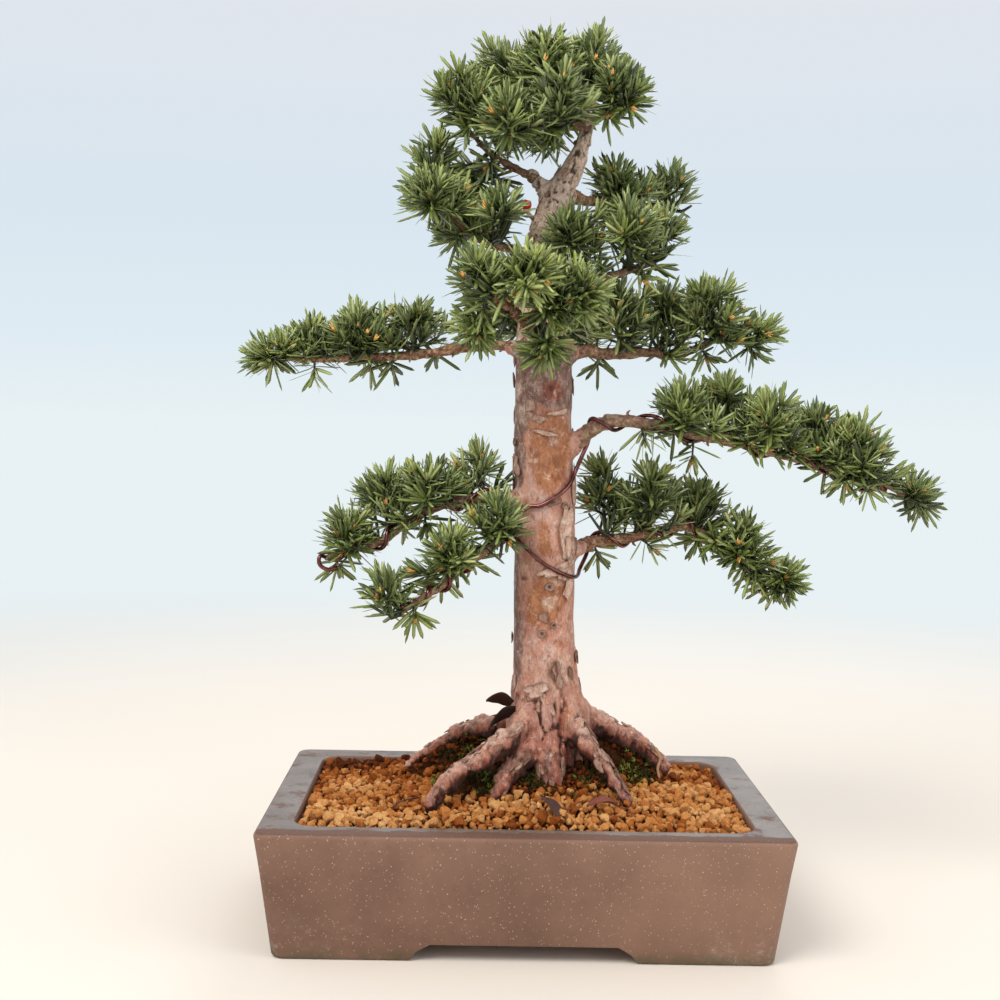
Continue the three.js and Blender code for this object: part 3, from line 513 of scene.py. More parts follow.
def blades(roots, ways, flats, lengths, widths, bends, shape, thick):
    """Closed blades with a ridge along the top, as points, quads, triangles and the share of margin."""
    flats = unit(flats - np.sum(flats * ways, axis=1, keepdims=True) * ways)
    along, broad = shape.T
    middle = (
        roots[:, None]
        + ways[:, None] * (lengths[:, None] * along)[..., None]
        + flats[:, None] * (bends[:, None] * along**2)[..., None]
    )
    half = np.cross(ways, flats)[:, None] * (widths[:, None] / 2 * broad)[..., None]
    ridge = flats[:, None] * (thick * np.sqrt(broad))[None, :, None]
    rings = np.stack([middle + ridge, middle + half, middle - half], 2)
    tips = roots + ways * lengths[:, None] + flats * bends[:, None]
    count, stations = len(roots), len(shape)
    each = 3 * stations + 1
    points = np.concatenate([rings.reshape(count, -1, 3), tips[:, None]], 1).reshape(-1, 3)
    shift = (np.arange(count) * each)[:, None, None]
    ends = np.vstack([fan(each - 1, each - 4, 3), [[0, 2, 1]]])
    margin = np.tile([0, 1, 1], stations).tolist() + [0.5]
    quads = walls(stations, 3)
    return points, (quads + shift).reshape(-1, 4), (ends + shift).reshape(-1, 3), np.tile(margin, count)


def patch(surface, half_across, half_tall, profile, wobble, seed, sides):
    """A raised patch on a surface, with a flat back, from rings that each have a share of its size and a
    height. Gives its points and faces, and each point's share."""
    turns = circle(sides)
    loop = np.stack([np.cos(turns) * 1.7, np.sin(turns) * 1.7, np.full(sides, seed * 7.3)], 1)
    reach = 1 + wobble * layered_noise(loop, 1, 3, seed)
    points = [surface(0, 0, profile[0][1])]
    for share, out in profile:
        lift = layered_noise(loop + share, 1.3, 2, seed + 5) * 0.3 * share
        points += [
            surface(half_across * share * r * math.cos(t), half_tall * share * r * math.sin(t), out + l)
            for t, r, l in zip(turns, reach, lift)
        ]
    points.append(surface(0, 0, profile[-1][1]))
    last = len(points) - 1
    fans = np.vstack([fan(0, 1, sides), fan(last, last - sides, sides, -1)])
    edge = np.concatenate([[0], np.repeat([share for share, _ in profile], sides), [0]])
    return (points, fans, walls(len(profile), sides)[:, FLIPPED] + 1), edge


def sphere(level):
    """Points and faces of a ball with radius 1."""
    ball = bmesh.new()
    bmesh.ops.create_icosphere(ball, subdivisions=level, radius=1)
    points = np.array([v.co for v in ball.verts])
    faces = np.array([[v.index for v in f.verts] for f in ball.faces])
    ball.free()
    return points, faces


# Materials


def srgb(red, green, blue):
    """A colour from its 0 to 255 values, as the linear values that shaders take."""
    parts = [c / 255 for c in (red, green, blue)]
    return tuple(c / 12.92 if c <= 0.04045 else ((c + 0.055) / 1.055) ** 2.4 for c in parts) + (1,)


def fill_ramp(ramp, stops):
    """Gives a ramp its stops, each a place with a colour or with one level of grey."""
    while len(ramp.elements) < len(stops):
        ramp.elements.new(0.5)
    for element, (place, *tone) in zip(ramp.elements, stops):
        element.position = place
        element.color = srgb(*tone) if len(tone) == 3 else (*tone * 3, 1)


class Look:
    """A node material, built from its colour up."""

    def __init__(self, name):
        self.material = bpy.data.materials.new(name)
        self.material.use_nodes = True
        self.tree = self.material.node_tree
        self.tree.nodes.clear()
        self.coordinates = self.node("ShaderNodeTexCoord").outputs["Object"]

    def node(self, kind, inputs=None, **settings):
        made = self.tree.nodes.new(kind)
        for key, value in settings.items():
            setattr(made, key, value)
        for key, value in (inputs or {}).items():
            if isinstance(value, bpy.types.NodeSocket):
                self.tree.links.new(value, made.inputs[key])
            else:
                made.inputs[key].default_value = value
        return made

    def stretched(self, stretch):
        mapping = {"Vector": self.coordinates, "Scale": stretch}
        return self.node("ShaderNodeMapping", mapping).outputs[0]

    def noise(self, size, detail=4, rough=0.6, tall=1):
        """Noise from 0 to 1 whose features are about this many millimetres wide, and longer upwards where
        tall is under 1."""
        place = self.stretched((1, 1, tall))
        inputs = {"Vector": place, "Scale": 1000 / size, "Detail": detail, "Roughness": rough}
        return self.node("ShaderNodeTexNoise", inputs).outputs[0]

    def specks(self, size, reach, tall=1):
        """1 within the reach of the middles of cells of this many millimetres, and 0 elsewhere."""
        inputs = {"Vector": self.stretched((1, 1, tall)), "Scale": 1000 / size}
        distance = self.node("ShaderNodeTexVoronoi", inputs).outputs["Distance"]
        return self.math("LESS_THAN", distance, reach)

    def value(self, name):
        return self.node("ShaderNodeAttribute", attribute_name=name).outputs["Fac"]

    def axes(self, vector):
        return self.node("ShaderNodeSeparateXYZ", {"Vector": vector}).outputs

    def math(self, kind, a, b=0.0):
        return self.node("ShaderNodeMath", {0: a, 1: b}, operation=kind).outputs[0]

    def times(self, a, b):
        return self.math("MULTIPLY", a, b)

    def plus(self, a, b):
        return self.math("ADD", a, b)

    def between(self, value, start, end):
        inputs = {"Value": value, "From Min": start, "From Max": end}
        return self.node("ShaderNodeMapRange", inputs, interpolation_type="SMOOTHSTEP").outputs[0]

    def mix(self, share, a, b):
        return self.node("ShaderNodeMix", {0: share, 6: a, 7: b}, data_type="RGBA").outputs[2]

    def over(self, colour, tone, share, *shares):
        """A tone laid over a colour by the product of the shares."""
        for other in shares:
            share = self.times(share, other)
        return self.mix(share, colour, srgb(*tone) if isinstance(tone, tuple) else tone)

    def spots(self, colour, tone, share, start, end, *noise):
        """A tone laid over a colour where the noise has passed the start, in full from the end on."""
        return self.over(colour, tone, self.between(self.noise(*noise), start, end), share)

    def ramp(self, value, *stops, kind="LINEAR"):
        made = self.node("ShaderNodeValToRGB", {"Fac": value})
        made.color_ramp.interpolation = kind
        fill_ramp(made.color_ramp, stops)
        return made.outputs[0]

    def finish(self, colour, roughness, height=None, distance=0.3, **constants):
        """Joins the colour, roughness and relief, whose distance is in millimetres, to the surface."""
        inputs = {"Base Color": colour, "Roughness": roughness}
        inputs.update({key.replace("_", " "): value for key, value in constants.items()})
        if height is not None:
            relief = {"Height": height, "Distance": distance / 1000, "Strength": 1.0}
            inputs["Normal"] = self.node("ShaderNodeBump", relief).outputs[0]
        shader = self.node("ShaderNodeBsdfPrincipled", inputs)
        self.node("ShaderNodeOutputMaterial", {"Surface": shader.outputs[0]})
        return self.material


def stoneware(look):
    body = look.ramp(look.noise(70, 5), (0.3, 107, 76, 60), (0.7, 134, 99, 80))
    body = look.spots(body, (84, 60, 50), 0.35, 0.52, 0.8, 5, 5, 0.7)
    fleck = look.times(look.specks(1.9, 0.19, 0.7), look.math("GREATER_THAN", look.noise(3.1, 2), 0.49))
    light = look.math("MAXIMUM", look.times(fleck, 0.62), look.specks(5.2, 0.085))
    body = look.over(body, (214, 190, 168), light, 0.62)
    body = look.over(body, (52, 38, 32), look.specks(3.3, 0.1), 0.6)
    place = look.axes(look.coordinates)
    facing_up = look.axes(look.node("ShaderNodeNewGeometry").outputs["Normal"])["Z"]
    rim = look.times(look.between(facing_up, 0.7, 0.97), look.between(place["Z"], 0.078, 0.082))
    # Painted light: the body turns lighter towards the right, where more light falls
    body = look.over(body, (166, 130, 106), look.between(place["X"], -0.1, 0.17), 0.3)
    # The rim's top: grey where it is rubbed smooth, brown and dusty along the front and by the soil
    front = look.between(place["Y"], (ORIGIN[1] - 106) / 1000, (ORIGIN[1] - 121) / 1000)
    dust = look.plus(look.noise(16, 6, 0.7), look.times(front, 0.9))
    top = look.ramp(look.noise(26, 5), (0.3, 94, 82, 73), (0.7, 128, 116, 107))
    top = look.over(top, (98, 64, 44), look.between(dust, 0.5, 0.68), 0.95)
    top = look.over(top, (205, 196, 184), light, 0.3)
    body = look.over(body, top, rim)
    # Pale mineral marks near the foot, strongest at the corners
    low_down = look.between(place["Z"], 0.036, 0.004)
    bloom = look.between(look.noise(11, 7, 0.78), 0.5, 0.74)
    side = look.between(look.math("ABSOLUTE", look.plus(place["X"], -ORIGIN[0] / 1000)), 0.08, 0.17)
    body = look.over(body, (204, 192, 182), bloom, low_down, side, 0.6)
    algae = look.times(look.between(place["Z"], 0.011, 0.001), look.between(look.noise(16, 5), 0.3, 0.6))
    body = look.over(body, (84, 78, 48), algae, 0.7)
    rubbed = look.times(rim, look.between(dust, 0.68, 0.5))
    gloss = look.mix(rubbed, (0.7, 0.7, 0.7, 1), (0.42, 0.42, 0.42, 1))
    return look.finish(body, gloss, look.plus(look.noise(2.2, 5, 0.7), look.times(light, 0.4)), 0.25)


def akadama(look):
    tone = look.plus(look.times(look.value("shade"), 0.8), look.times(look.noise(3, 5, 0.7), 0.3))
    colour = look.ramp(
        tone, (0.08, 44, 24, 10), (0.26, 112, 54, 20), (0.46, 166, 92, 38), (0.68, 206, 138, 74),
        (0.95, 228, 174, 112),
    )
    colour = look.spots(colour, (96, 44, 14), 0.4, 0.6, 0.35, 1.1, 4, 0.8)
    return look.finish(colour, 0.95, look.noise(1.3, 5, 0.8), 0.8, Specular_IOR_Level=0.1)


def trunk_bark(look):
    layers = look.noise(20, 6, 0.62, 0.6)
    mottle = look.noise(6, 6, 0.75, 0.7)
    fine = look.noise(1.8, 5, 0.8, 0.6)
    pink = look.ramp(mottle, (0.25, 138, 84, 66), (0.5, 194, 140, 116), (0.75, 230, 192, 172))
    orange = look.ramp(mottle, (0.3, 110, 63, 36), (0.5, 164, 102, 62), (0.75, 202, 143, 101))
    grey = look.ramp(mottle, (0.3, 76, 50, 43), (0.5, 126, 96, 84), (0.72, 204, 184, 174))
    red = look.ramp(mottle, (0.3, 60, 26, 18), (0.5, 136, 68, 48), (0.75, 192, 118, 92))
    cream = look.ramp(fine, (0.3, 158, 122, 98), (0.5, 206, 178, 156), (0.75, 232, 214, 198))

    def share(name, size=8, spread=0.9, start=0.3, end=0.62):
        """Where the mesh's value of this name says, with a ragged edge."""
        rough = look.times(look.plus(look.noise(size, 6, 0.75, 0.6), -0.5), spread)
        return look.between(look.plus(look.value(name), rough), start, end)

    # Thin layers of bark that came off to different depths, each with its own tone
    depth = look.ramp(layers, (0, 0.1), (0.4, 0.35), (0.47, 0.55), (0.54, 0.8), (0.61, 1), kind="CONSTANT")
    skin = look.ramp(
        layers, (0, 168, 92, 62), (0.4, 196, 132, 104), (0.47, 186, 136, 116), (0.54, 214, 172, 150),
        (0.61, 192, 164, 148), kind="CONSTANT",
    )
    colour = look.over(pink, skin, 0.35)
    colour = look.spots(colour, (212, 188, 182), 0.4, 0.5, 0.66, 26, 5, 0.7, 0.5)
    colour = look.spots(colour, (136, 84, 78), 0.4, 0.54, 0.66, 34, 4, 0.6, 0.6)
    colour = look.over(colour, orange, share("orange"), 0.88)
    colour = look.over(colour, grey, share("grey"), 0.9)
    # The red value: red bark, and a darker red in the creases and under the roots that is partly painted
    # shade
    colour = look.over(colour, red, share("red", 5, 1.2, 0.1, 0.9))
    colour = look.spots(colour, (96, 52, 34), 0.6, 0.54, 0.64, 3.4, 6, 0.8, 0.5)
    colour = look.spots(colour, (112, 70, 46), 0.45, 0.58, 0.66, 10, 6, 0.7, 0.5)
    colour = look.spots(colour, (226, 204, 190), 0.6, 0.55, 0.66, 4.6, 6, 0.8, 0.7)
    # The pale value: pale bark, and on the roots' upper sides a painted highlight
    colour = look.over(colour, cream, share("pale", 5, 1.0, 0.2, 0.6))
    # The dark value: painted shade under the roots, in the crotches and creases at the foot and under the
    # lowest branches; also darker bark by the soil and along cracks
    colour = look.over(colour, (42, 25, 16), share("dark", 3.5, 1.1, 0.2, 0.85), 0.92)
    colour = look.over(colour, (84, 48, 36), look.between(fine, 0.55, 0.3), 0.4)
    relief = look.plus(look.times(depth, 0.8), look.times(fine, 0.4))
    relief = look.plus(relief, look.times(mottle, 0.5))
    return look.finish(colour, 0.7, relief, 0.75, Specular_IOR_Level=0.35)


def branch_bark(look):
    colour = look.ramp(
        look.noise(3.6, 6, 0.78), (0.32, 44, 24, 14), (0.44, 112, 70, 44), (0.54, 170, 126, 92),
        (0.66, 222, 194, 166),
    )
    colour = look.spots(colour, (128, 66, 36), 0.5, 0.5, 0.62, 11)
    colour = look.over(colour, look.over(colour, (182, 164, 146), 0.4), look.value("grey"))
    relief = look.plus(look.noise(3, 5, 0.7), look.noise(1.2, 5, 0.8))
    return look.finish(colour, 0.8, relief, 1.2, Specular_IOR_Level=0.25)


def peeling_bark(look):
    colour = look.ramp(
        look.noise(3.6, 6, 0.78, 0.6), (0.3, 140, 96, 74), (0.45, 196, 156, 134), (0.58, 220, 190, 170),
        (0.8, 240, 224, 212),
    )
    colour = look.spots(colour, (98, 58, 40), 0.6, 0.54, 0.62, 2.2, 6, 0.85, 0.4)
    # Darker towards each plate's rim: partly a brown rim, partly painted shade along its lifted edge
    colour = look.over(colour, (96, 58, 42), look.between(look.value("edge"), 0.75, 1.0), 0.4)
    colour = look.over(colour, (104, 62, 44), look.value("shade"))
    # Painted shade: the middle of each knot is near black, for the shade in its hollow
    colour = look.over(colour, (40, 24, 16), look.value("hole"))
    return look.finish(colour, 0.75, look.noise(1.8, 5, 0.8), 0.7, Specular_IOR_Level=0.25)


def needle(look):
    shade = look.value("shade")
    old = look.ramp(shade, (0, 22, 30, 9), (0.3, 72, 88, 34), (0.6, 133, 147, 70), (1, 186, 194, 134))
    new = look.ramp(shade, (0, 104, 124, 32), (1, 212, 216, 112))
    bud = look.ramp(shade, (0, 206, 126, 54), (1, 246, 200, 110))
    colour = look.over(old, new, look.value("fresh"))
    colour = look.over(colour, (118, 134, 76), look.noise(1.4, 3), 0.16)
    # The needles' margins are paler: partly their own pale edges, partly a painted highlight
    colour = look.over(colour, (160, 172, 116), look.math("POWER", look.value("margin"), 3.0), 0.35)
    colour = look.over(colour, bud, look.value("bud"))
    return look.finish(colour, 0.36, look.noise(0.9, 2), 0.06, Specular_IOR_Level=0.6)


def twig(look):
    tone = look.noise(2.4, 5, 0.75)
    colour = look.ramp(tone, (0.3, 74, 36, 20), (0.52, 134, 78, 44), (0.75, 182, 130, 88))
    green = look.ramp(look.noise(1.5, 3), (0.3, 92, 104, 48), (0.7, 134, 140, 76))
    colour = look.over(colour, green, look.value("young"))
    return look.finish(colour, 0.75, look.noise(0.9, 4, 0.8), 0.3)


def copper_wire(look):
    tone = look.noise(9, 5, 0.65)
    colour = look.ramp(tone, (0.25, 56, 24, 22), (0.5, 104, 52, 46), (0.75, 146, 86, 76))
    gloss = look.ramp(look.noise(2), (0.3, 0.14), (0.8, 0.28))
    coat = {"Coat_Weight": 0.5, "Coat_Roughness": 0.1}
    return look.finish(colour, gloss, look.noise(1.2, 3), 0.04, Metallic=0.85, **coat)


def aril(look):
    colour = look.ramp(look.noise(3, 3), (0.3, 172, 16, 18), (0.7, 214, 42, 32))
    colour = look.over(colour, (92, 104, 52), look.value("seed"))
    return look.finish(colour, 0.28, look.noise(1, 2), 0.05, Subsurface_Weight=0.2, Coat_Weight=0.4)


def moss(look):
    shade = look.value("shade")
    colour = look.ramp(shade, (0, 30, 28, 10), (0.5, 66, 68, 24), (0.8, 116, 124, 44), (1, 150, 168, 74))
    colour = look.over(colour, (44, 32, 14), look.noise(2), 0.35)
    return look.finish(colour, 0.85, look.noise(0.8, 3), 0.2, Specular_IOR_Level=0.15)


def dry_leaf(look):
    shade = look.value("shade")
    colour = look.ramp(shade, (0, 48, 26, 18), (0.4, 92, 46, 32), (0.75, 150, 76, 56), (1, 206, 176, 128))
    colour = look.spots(colour, (44, 24, 18), 0.4, 0.65, 0.35, 1.6, 5, 0.8)
    return look.finish(colour, 0.6, look.noise(1.5, 4, 0.7), 0.3)


def soil_bed(look):
    # Painted shade: the bed is near black-brown so that the gaps between the grains look shaded
    colour = look.ramp(look.noise(4, 6, 0.8), (0.3, 32, 18, 9), (0.7, 84, 46, 20))
    return look.finish(colour, 0.98, look.noise(2, 5, 0.8), 1.0, Specular_IOR_Level=0.1)


def screen_plastic(look):
    colour = look.ramp(look.noise(6), (0.3, 26, 28, 26), (0.7, 44, 46, 42))
    return look.finish(colour, 0.6, look.noise(0.8, 3), 0.08)


def pale_floor(look):
    tone = look.ramp(look.noise(900, 2), (0.3, 227, 217, 203), (0.7, 231, 222, 209))
    distance = look.node("ShaderNodeVectorMath", {0: look.coordinates}, operation="LENGTH").outputs["Value"]
    far = look.between(distance, 0.5, 2.2)
    black = (0, 0, 0, 1)
    glow = {"Emission_Color": look.over(black, HORIZON, far), "Emission_Strength": 1.0}
    return look.finish(look.mix(far, tone, black), 0.95, Specular_IOR_Level=0.0, **glow)


looks = {
    make.__name__: make(Look(make.__name__))
    for make in (
        stoneware, akadama, trunk_bark, branch_bark, peeling_bark, needle, twig, copper_wire, aril, moss,
        dry_leaf, soil_bed, screen_plastic, pale_floor,
    )
}


# The pot


def rounded_ring(half_x, half_y, corner, height):
    """A rectangle with rounded corners, anticlockwise from above."""
    steps, ring = 12, []
    for quarter, (sign_x, sign_y) in enumerate([(1, 1), (-1, 1), (-1, -1), (1, -1)]):
        for i in range(steps + 1):
            turn = math.pi / 2 * (quarter + i / steps)
            x = sign_x * (half_x - corner) + corner * math.cos(turn)
            ring.append([x, sign_y * (half_y - corner) + corner * math.sin(turn), height])
    return ring


def loft(name, rings):
    """A closed object through rings, in metres in the frame, for cutting and joining."""
    sides = len(rings[0])
    points = (np.vstack(rings) + ORIGIN) / 1000
    faces = walls(len(rings), sides).tolist()
    faces += [list(range(sides))[::-1], list(range(len(points) - sides, len(points)))]
    mesh = bpy.data.meshes.new(name)
    mesh.from_pydata(points.tolist(), [], faces)
    shell = bmesh.new()
    shell.from_mesh(mesh)
    bmesh.ops.recalc_face_normals(shell, faces=shell.faces)
    shell.to_mesh(mesh)
    shell.free()
    return placed(name, mesh)


def apply_modifiers(obj):
    bpy.context.view_layer.update()
    mesh = bpy.data.meshes.new_from_object(obj.evaluated_get(bpy.context.evaluated_depsgraph_get()))
    obj.modifiers.clear()
    obj.data = mesh


def cut(obj, cutter):
    modifier = obj.modifiers.new("cut", "BOOLEAN")
    modifier.operation, modifier.solver, modifier.object = "DIFFERENCE", "EXACT", cutter
    apply_modifiers(obj)
    bpy.data.objects.remove(cutter)


def wall_inset(height):
    return POT["taper"] * (POT["height"] - height) / POT["height"]


def channel_outline(half, slope):
    """The section of the space between two feet."""
    knee = FOOT_HEIGHT * 0.55
    right = [
        (half - slope, FOOT_HEIGHT), (half - slope * 0.35, knee), (half, 0), (half + slope * 0.2, -5),
    ]
    return [(-across, z) for across, z in right[::-1]] + right


def make_pot():
    top = POT["height"]
    outer = [(wall_inset(z) + (1 if z == 0 else 0.35 if z < 1 else 0), z) for z in (0, 0.6, 1.6, 30, 60)]
    outer += [(0.02, top - 3), (0.25, top - 1.8), (0.9, top - 0.8), (1.8, top - 0.2), (RIM["round"], top)]
    body = loft("pot_body", [
        rounded_ring(HALF_X - inset, HALF_Y - inset, POT["corner"] - (0.9 if z > top - 1 else 0), z)
        for inset, z in outer
    ])
    ledge = top - RIM["thickness"]

    def hollow(name, rows):
        """Cuts out the space through rings: how far in from the wall at a height, corner and own height."""
        rings = []
        for inset, at, corner, z in rows:
            inward = wall_inset(at) + inset
            rings.append(rounded_ring(HALF_X - inward, HALF_Y - inward, corner, z))
        cut(body, loft(name, rings))

    hollow("chamber", [
        (POT_WALL + 3, POT_FLOOR, 11, POT_FLOOR), (POT_WALL, POT_FLOOR + 3, 14, POT_FLOOR + 3),
        (POT_WALL, ledge, 14, ledge - 5), (POT_WALL + 5, ledge, 14, ledge),
    ])
    hollow("mouth", [
        (RIM["width"] - less, top, RIM["corner"] + wider, top + up)
        for less, wider, up in [
            (0, 0, -RIM["thickness"] - 8), (0, 0, -2.4), (0.25, 0, -1.2), (0.9, 0, -0.35), (2.4, 1, 0.1),
            (3, 1, 20),
        ]
    ])
    cut(body, loft("channel", [[(a, y, z) for a, z in channel_outline(*FRONT_CUTOUT)] for y in (200, -200)]))
    cut(body, loft("channel", [[(x, a, z) for a, z in channel_outline(*SIDE_CUTOUT)] for x in (-250, 250)]))
    for middle in (-DRAIN_OFFSET, DRAIN_OFFSET):
        rings = [
            [(middle + DRAIN_RADIUS * math.cos(t), DRAIN_RADIUS * math.sin(t), z) for t in circle(40)]
            for z in (-5, 40)
        ]
        cut(body, loft("drain", rings))
    bevel = body.modifiers.new("edges", "BEVEL")
    bevel.width, bevel.segments, bevel.limit_method, bevel.angle_limit = 0.0009, 2, "ANGLE", math.radians(38)
    apply_modifiers(body)
    body.data.polygons.foreach_set("use_smooth", [True] * len(body.data.polygons))
    body.data.set_sharp_from_angle(angle=math.radians(32))
    body.name = body.data.name = "pot_body"
    as_piece(body, "stoneware", "stoneware", "pot")


def make_screens():
    """Plastic screens over the drain holes, each a fine woven grid."""
    half, height, strands, stations = 18, POT_FLOOR + 0.9, 13, 25
    run = np.linspace(-half + 0.4, half - 0.4, stations)
    for middle, side in ((-DRAIN_OFFSET, "left"), (DRAIN_OFFSET, "right")):
        shape = Shape()
        for k in range(strands):
            at = -half + 0.7 + k * (2 * half - 1.4) / (strands - 1)
            weave = [0.28 * (-1) ** (k + i) for i in range(stations)]
            shape.add(*tube([[middle + at, y, height + w] for y, w in zip(run, weave)], 0.35, 6))
            shape.add(*tube([[middle + x, at, height - w] for x, w in zip(run, weave)], 0.35, 6))
        shape.piece("drain_mesh_" + side, "screen_plastic", "screen", "drain_screen_" + side)


# The soil


def bump(x, y, at_x, at_y, wide, deep):
    """1 at a place, and less the farther the points lie from it."""
    return np.exp(-(((x - at_x) / wide) ** 2) - ((y - at_y) / deep) ** 2)


def soil_height(x, y):
    distance = np.hypot((x - SOIL["centre"]) / 1.25, y)
    return SOIL["edge"] + SOIL["rise"] * np.exp(-((distance / SOIL["spread"]) ** 2))


def mound_height(x, y):
    """The dark earth and moss that stand higher than the grains between and under the roots."""
    x, y = np.broadcast_arrays(np.asarray(x, float), np.asarray(y, float))
    places = np.stack([x, y, 0 * x], -1).reshape(-1, 3)
    uneven = layered_noise(places, 16, 3, 6).reshape(x.shape)
    rise = np.max([height * bump(x, y, *place) for height, *place in MOUNDS], axis=0)
    return soil_height(x, y) + np.maximum(0, rise * (1 + 0.25 * uneven) - 1.5)


def root_distance(points):
    """How far each point lies from the bark of the trunk and roots."""
    best = np.full(len(points), 1e9)
    for rows in [TRUNK[:8], *ROOTS.values()]:
        for (*a, radius_a), (*b, radius_b) in zip(rows, rows[1:]):
            a, along = np.array(a, float), np.subtract(b, a)
            share = np.clip((points - a) @ along / (along @ along), 0, 1)
            gap = np.linalg.norm(points - a - share[:, None] * along, axis=1)
            best = np.minimum(best, gap - radius_a - share * (radius_b - radius_a))
    return best


def make_soil():
    """The bed under the grains, filling the pot."""
    rows, columns, corner = 66, 96, RIM["corner"]
    half = np.array([MOUTH_X - 0.4, MOUTH_Y - 0.4])
    x, y = np.meshgrid(np.linspace(-half[0], half[0], columns), np.linspace(-half[1], half[1], rows))
    flat = np.stack([x.ravel(), y.ravel()], 1)
    # Draws the grid's corners in to the round ones of the pot's mouth
    past = np.abs(flat) - half + corner
    over = np.hypot(*np.maximum(past, 0).T)
    pull = np.where(over > corner, corner / np.maximum(over, 1e-6), 1)
    flat = np.where(past > 0, np.sign(flat) * (half - corner + past * pull[:, None]), flat)
    x, y = flat.T
    z = mound_height(x, y) - 3.2 + 1.3 * layered_noise(np.column_stack([flat, 0 * x]), 7, 3, 4)
    points = np.vstack([np.column_stack([flat, z]), np.column_stack([flat, 0 * z + POT_FLOOR + 0.4])])
    shape = Shape()
    shape.add(points, *slab(rows, columns))
    shape.piece("soil_bed", "soil_bed", "soil", "soil")


def scatter(random, sizes, half_x, half_y):
    """Places for grains that hardly overlap, the largest first, as x, y and radius."""
    cell = 10
    taken, grid = [], {}
    for radius, tries in sizes:
        for _ in range(tries):
            r = radius * random.uniform(0.82, 1.15)
            x, y = random.uniform(-half_x + r, half_x - r), random.uniform(-half_y + r, half_y - r)
            column, row = int(x // cell), int(y // cell)
            around_it = [(column + i, row + j) for i in (-1, 0, 1) for j in (-1, 0, 1)]
            near = [n for key in around_it for n in grid.get(key, ())]
            if all((x - n[0]) ** 2 + (y - n[1]) ** 2 > (0.84 * (r + n[2])) ** 2 for n in near):
                grid.setdefault((column, row), []).append((x, y, r))
                taken.append((x, y, r))
    return np.array(taken)


def grain_shade(x, y, half_x, half_y):
    """How light the grains are at a place: darker by the trunk, the rim and the back."""
    near = bump(x, y, 12, -2, 81.2, 56)
    wide = grain_noise([[x / 40, y / 28, 3.1]], 9)[0]
    edge = ease(max(abs(x) - half_x, abs(y + 8) - half_y + 8), -20, -2)
    shade = 0.84 + 0.3 * wide - 0.4 * near - 0.42 * ease(y, -5, 55) - 0.16 * edge
    return shade - 0.1 * bump(x, y, 42, -78, 40, 30) - 0.14 * ease(x, -20, -90) * ease(y, -30, 20)


def make_grains():
    random = np.random.default_rng(5)
    half_x, half_y = MOUTH_X - 1, MOUTH_Y - 1
    bed = scatter(random, [(3.4, 1500), (2.8, 5000), (2.1, 9000), (1.4, 9000)], half_x, half_y)
    loose = scatter(random, [(3.2, 150), (2.4, 320), (1.7, 500), (1.0, 600)], half_x, half_y)
    fine, coarse = sphere(2), sphere(1)
    shape = Shape()
    for layer, (x, y, radii) in ((0.25, bed.T), (1.35, loose.T)):
        ground = soil_height(x, y)
        z = ground - 1.6 + layer * radii + random.uniform(-0.6, 0.9, len(x))
        z -= np.where(np.maximum(np.abs(x) / half_x, np.abs(y) / half_y) > 0.93, 1.0, 0)
        middles = np.column_stack([x, y, z])
        corner = np.hypot(np.maximum(np.abs(x) - half_x + 16, 0), np.maximum(np.abs(y) - half_y + 16, 0))
        keep = (corner + radii < 17) & (mound_height(x, y) - ground < 3)
        keep &= root_distance(middles) > 0.1 * radii
        for middle, r in zip(middles[keep], radii[keep]):
            ball, faces = fine if r > 2.6 else coarse
            turn = np.linalg.qr(random.normal(size=(3, 3)))[0]
            turn[:, 0] *= np.sign(np.linalg.det(turn))
            points = ball * (1.12 + 0.3 * layered_noise(ball * 1.6 + middle, 1, 2, 3))[:, None]
            for cut_way, depth in zip(unit(random.normal(size=(7, 3))), random.uniform(0.5, 0.86, 7)):
                points = points - np.maximum(points @ cut_way - depth, 0)[:, None] * cut_way
            points = points * random.uniform(0.85, 1.2, 3)
            shade = grain_shade(*middle[:2], half_x, half_y)
            shade += random.normal(0, 0.14) - (0.3 if random.random() < 0.08 else 0)
            shape.add(middle + r * points @ turn.T, faces, smooth=False, shade=np.clip(shade, 0.02, 1))
    shape.piece("akadama_grains", "akadama", "soil")


# The trunk and roots


def numbers(items, key, each=3, kind=float):
    """A value of all the items of a mesh, as one row of numbers."""
    values = np.zeros(len(items) * each, kind)
    items.foreach_get(key, values)
    return values


def remeshed(shape, voxel):
    """The outer skin of overlapping tubes as one mesh: its points, faces and a mesh that holds them."""
    mesh = bpy.data.meshes.new("skin")
    faces = [face.tolist() for block in shape.faces for face in block]
    mesh.from_pydata(np.vstack(shape.points).tolist(), [], faces)
    obj = placed("skin", mesh)
    modifier = obj.modifiers.new("skin", "REMESH")
    modifier.mode, modifier.voxel_size = "VOXEL", voxel
    apply_modifiers(obj)
    mesh = obj.data
    bpy.data.objects.remove(obj)
    corners = numbers(mesh.loops, "vertex_index", 1, int)
    return numbers(mesh.vertices, "co").reshape(-1, 3), corners.reshape(-1, 4), mesh


def relaxed(points, faces, rounds):
    """The points with each drawn towards the middle of its neighbours."""
    pairs = np.vstack([faces[:, [k, (k + 1) % 4]] for k in range(4)])
    count = np.bincount(pairs[:, 0], minlength=len(points)) + np.bincount(pairs[:, 1], minlength=len(points))
    for _ in range(rounds):
        total = np.zeros_like(points)
        for axis in range(3):
            total[:, axis] = np.bincount(pairs[:, 0], points[pairs[:, 1], axis], len(points))
            total[:, axis] += np.bincount(pairs[:, 1], points[pairs[:, 0], axis], len(points))
        points = points + 0.6 * (total / count[:, None] - points)
    return points


def normals_of(points, mesh):
    mesh.vertices.foreach_set("co", points.ravel())
    mesh.update()
    return numbers(mesh.vertex_normals, "vector").reshape(-1, 3)


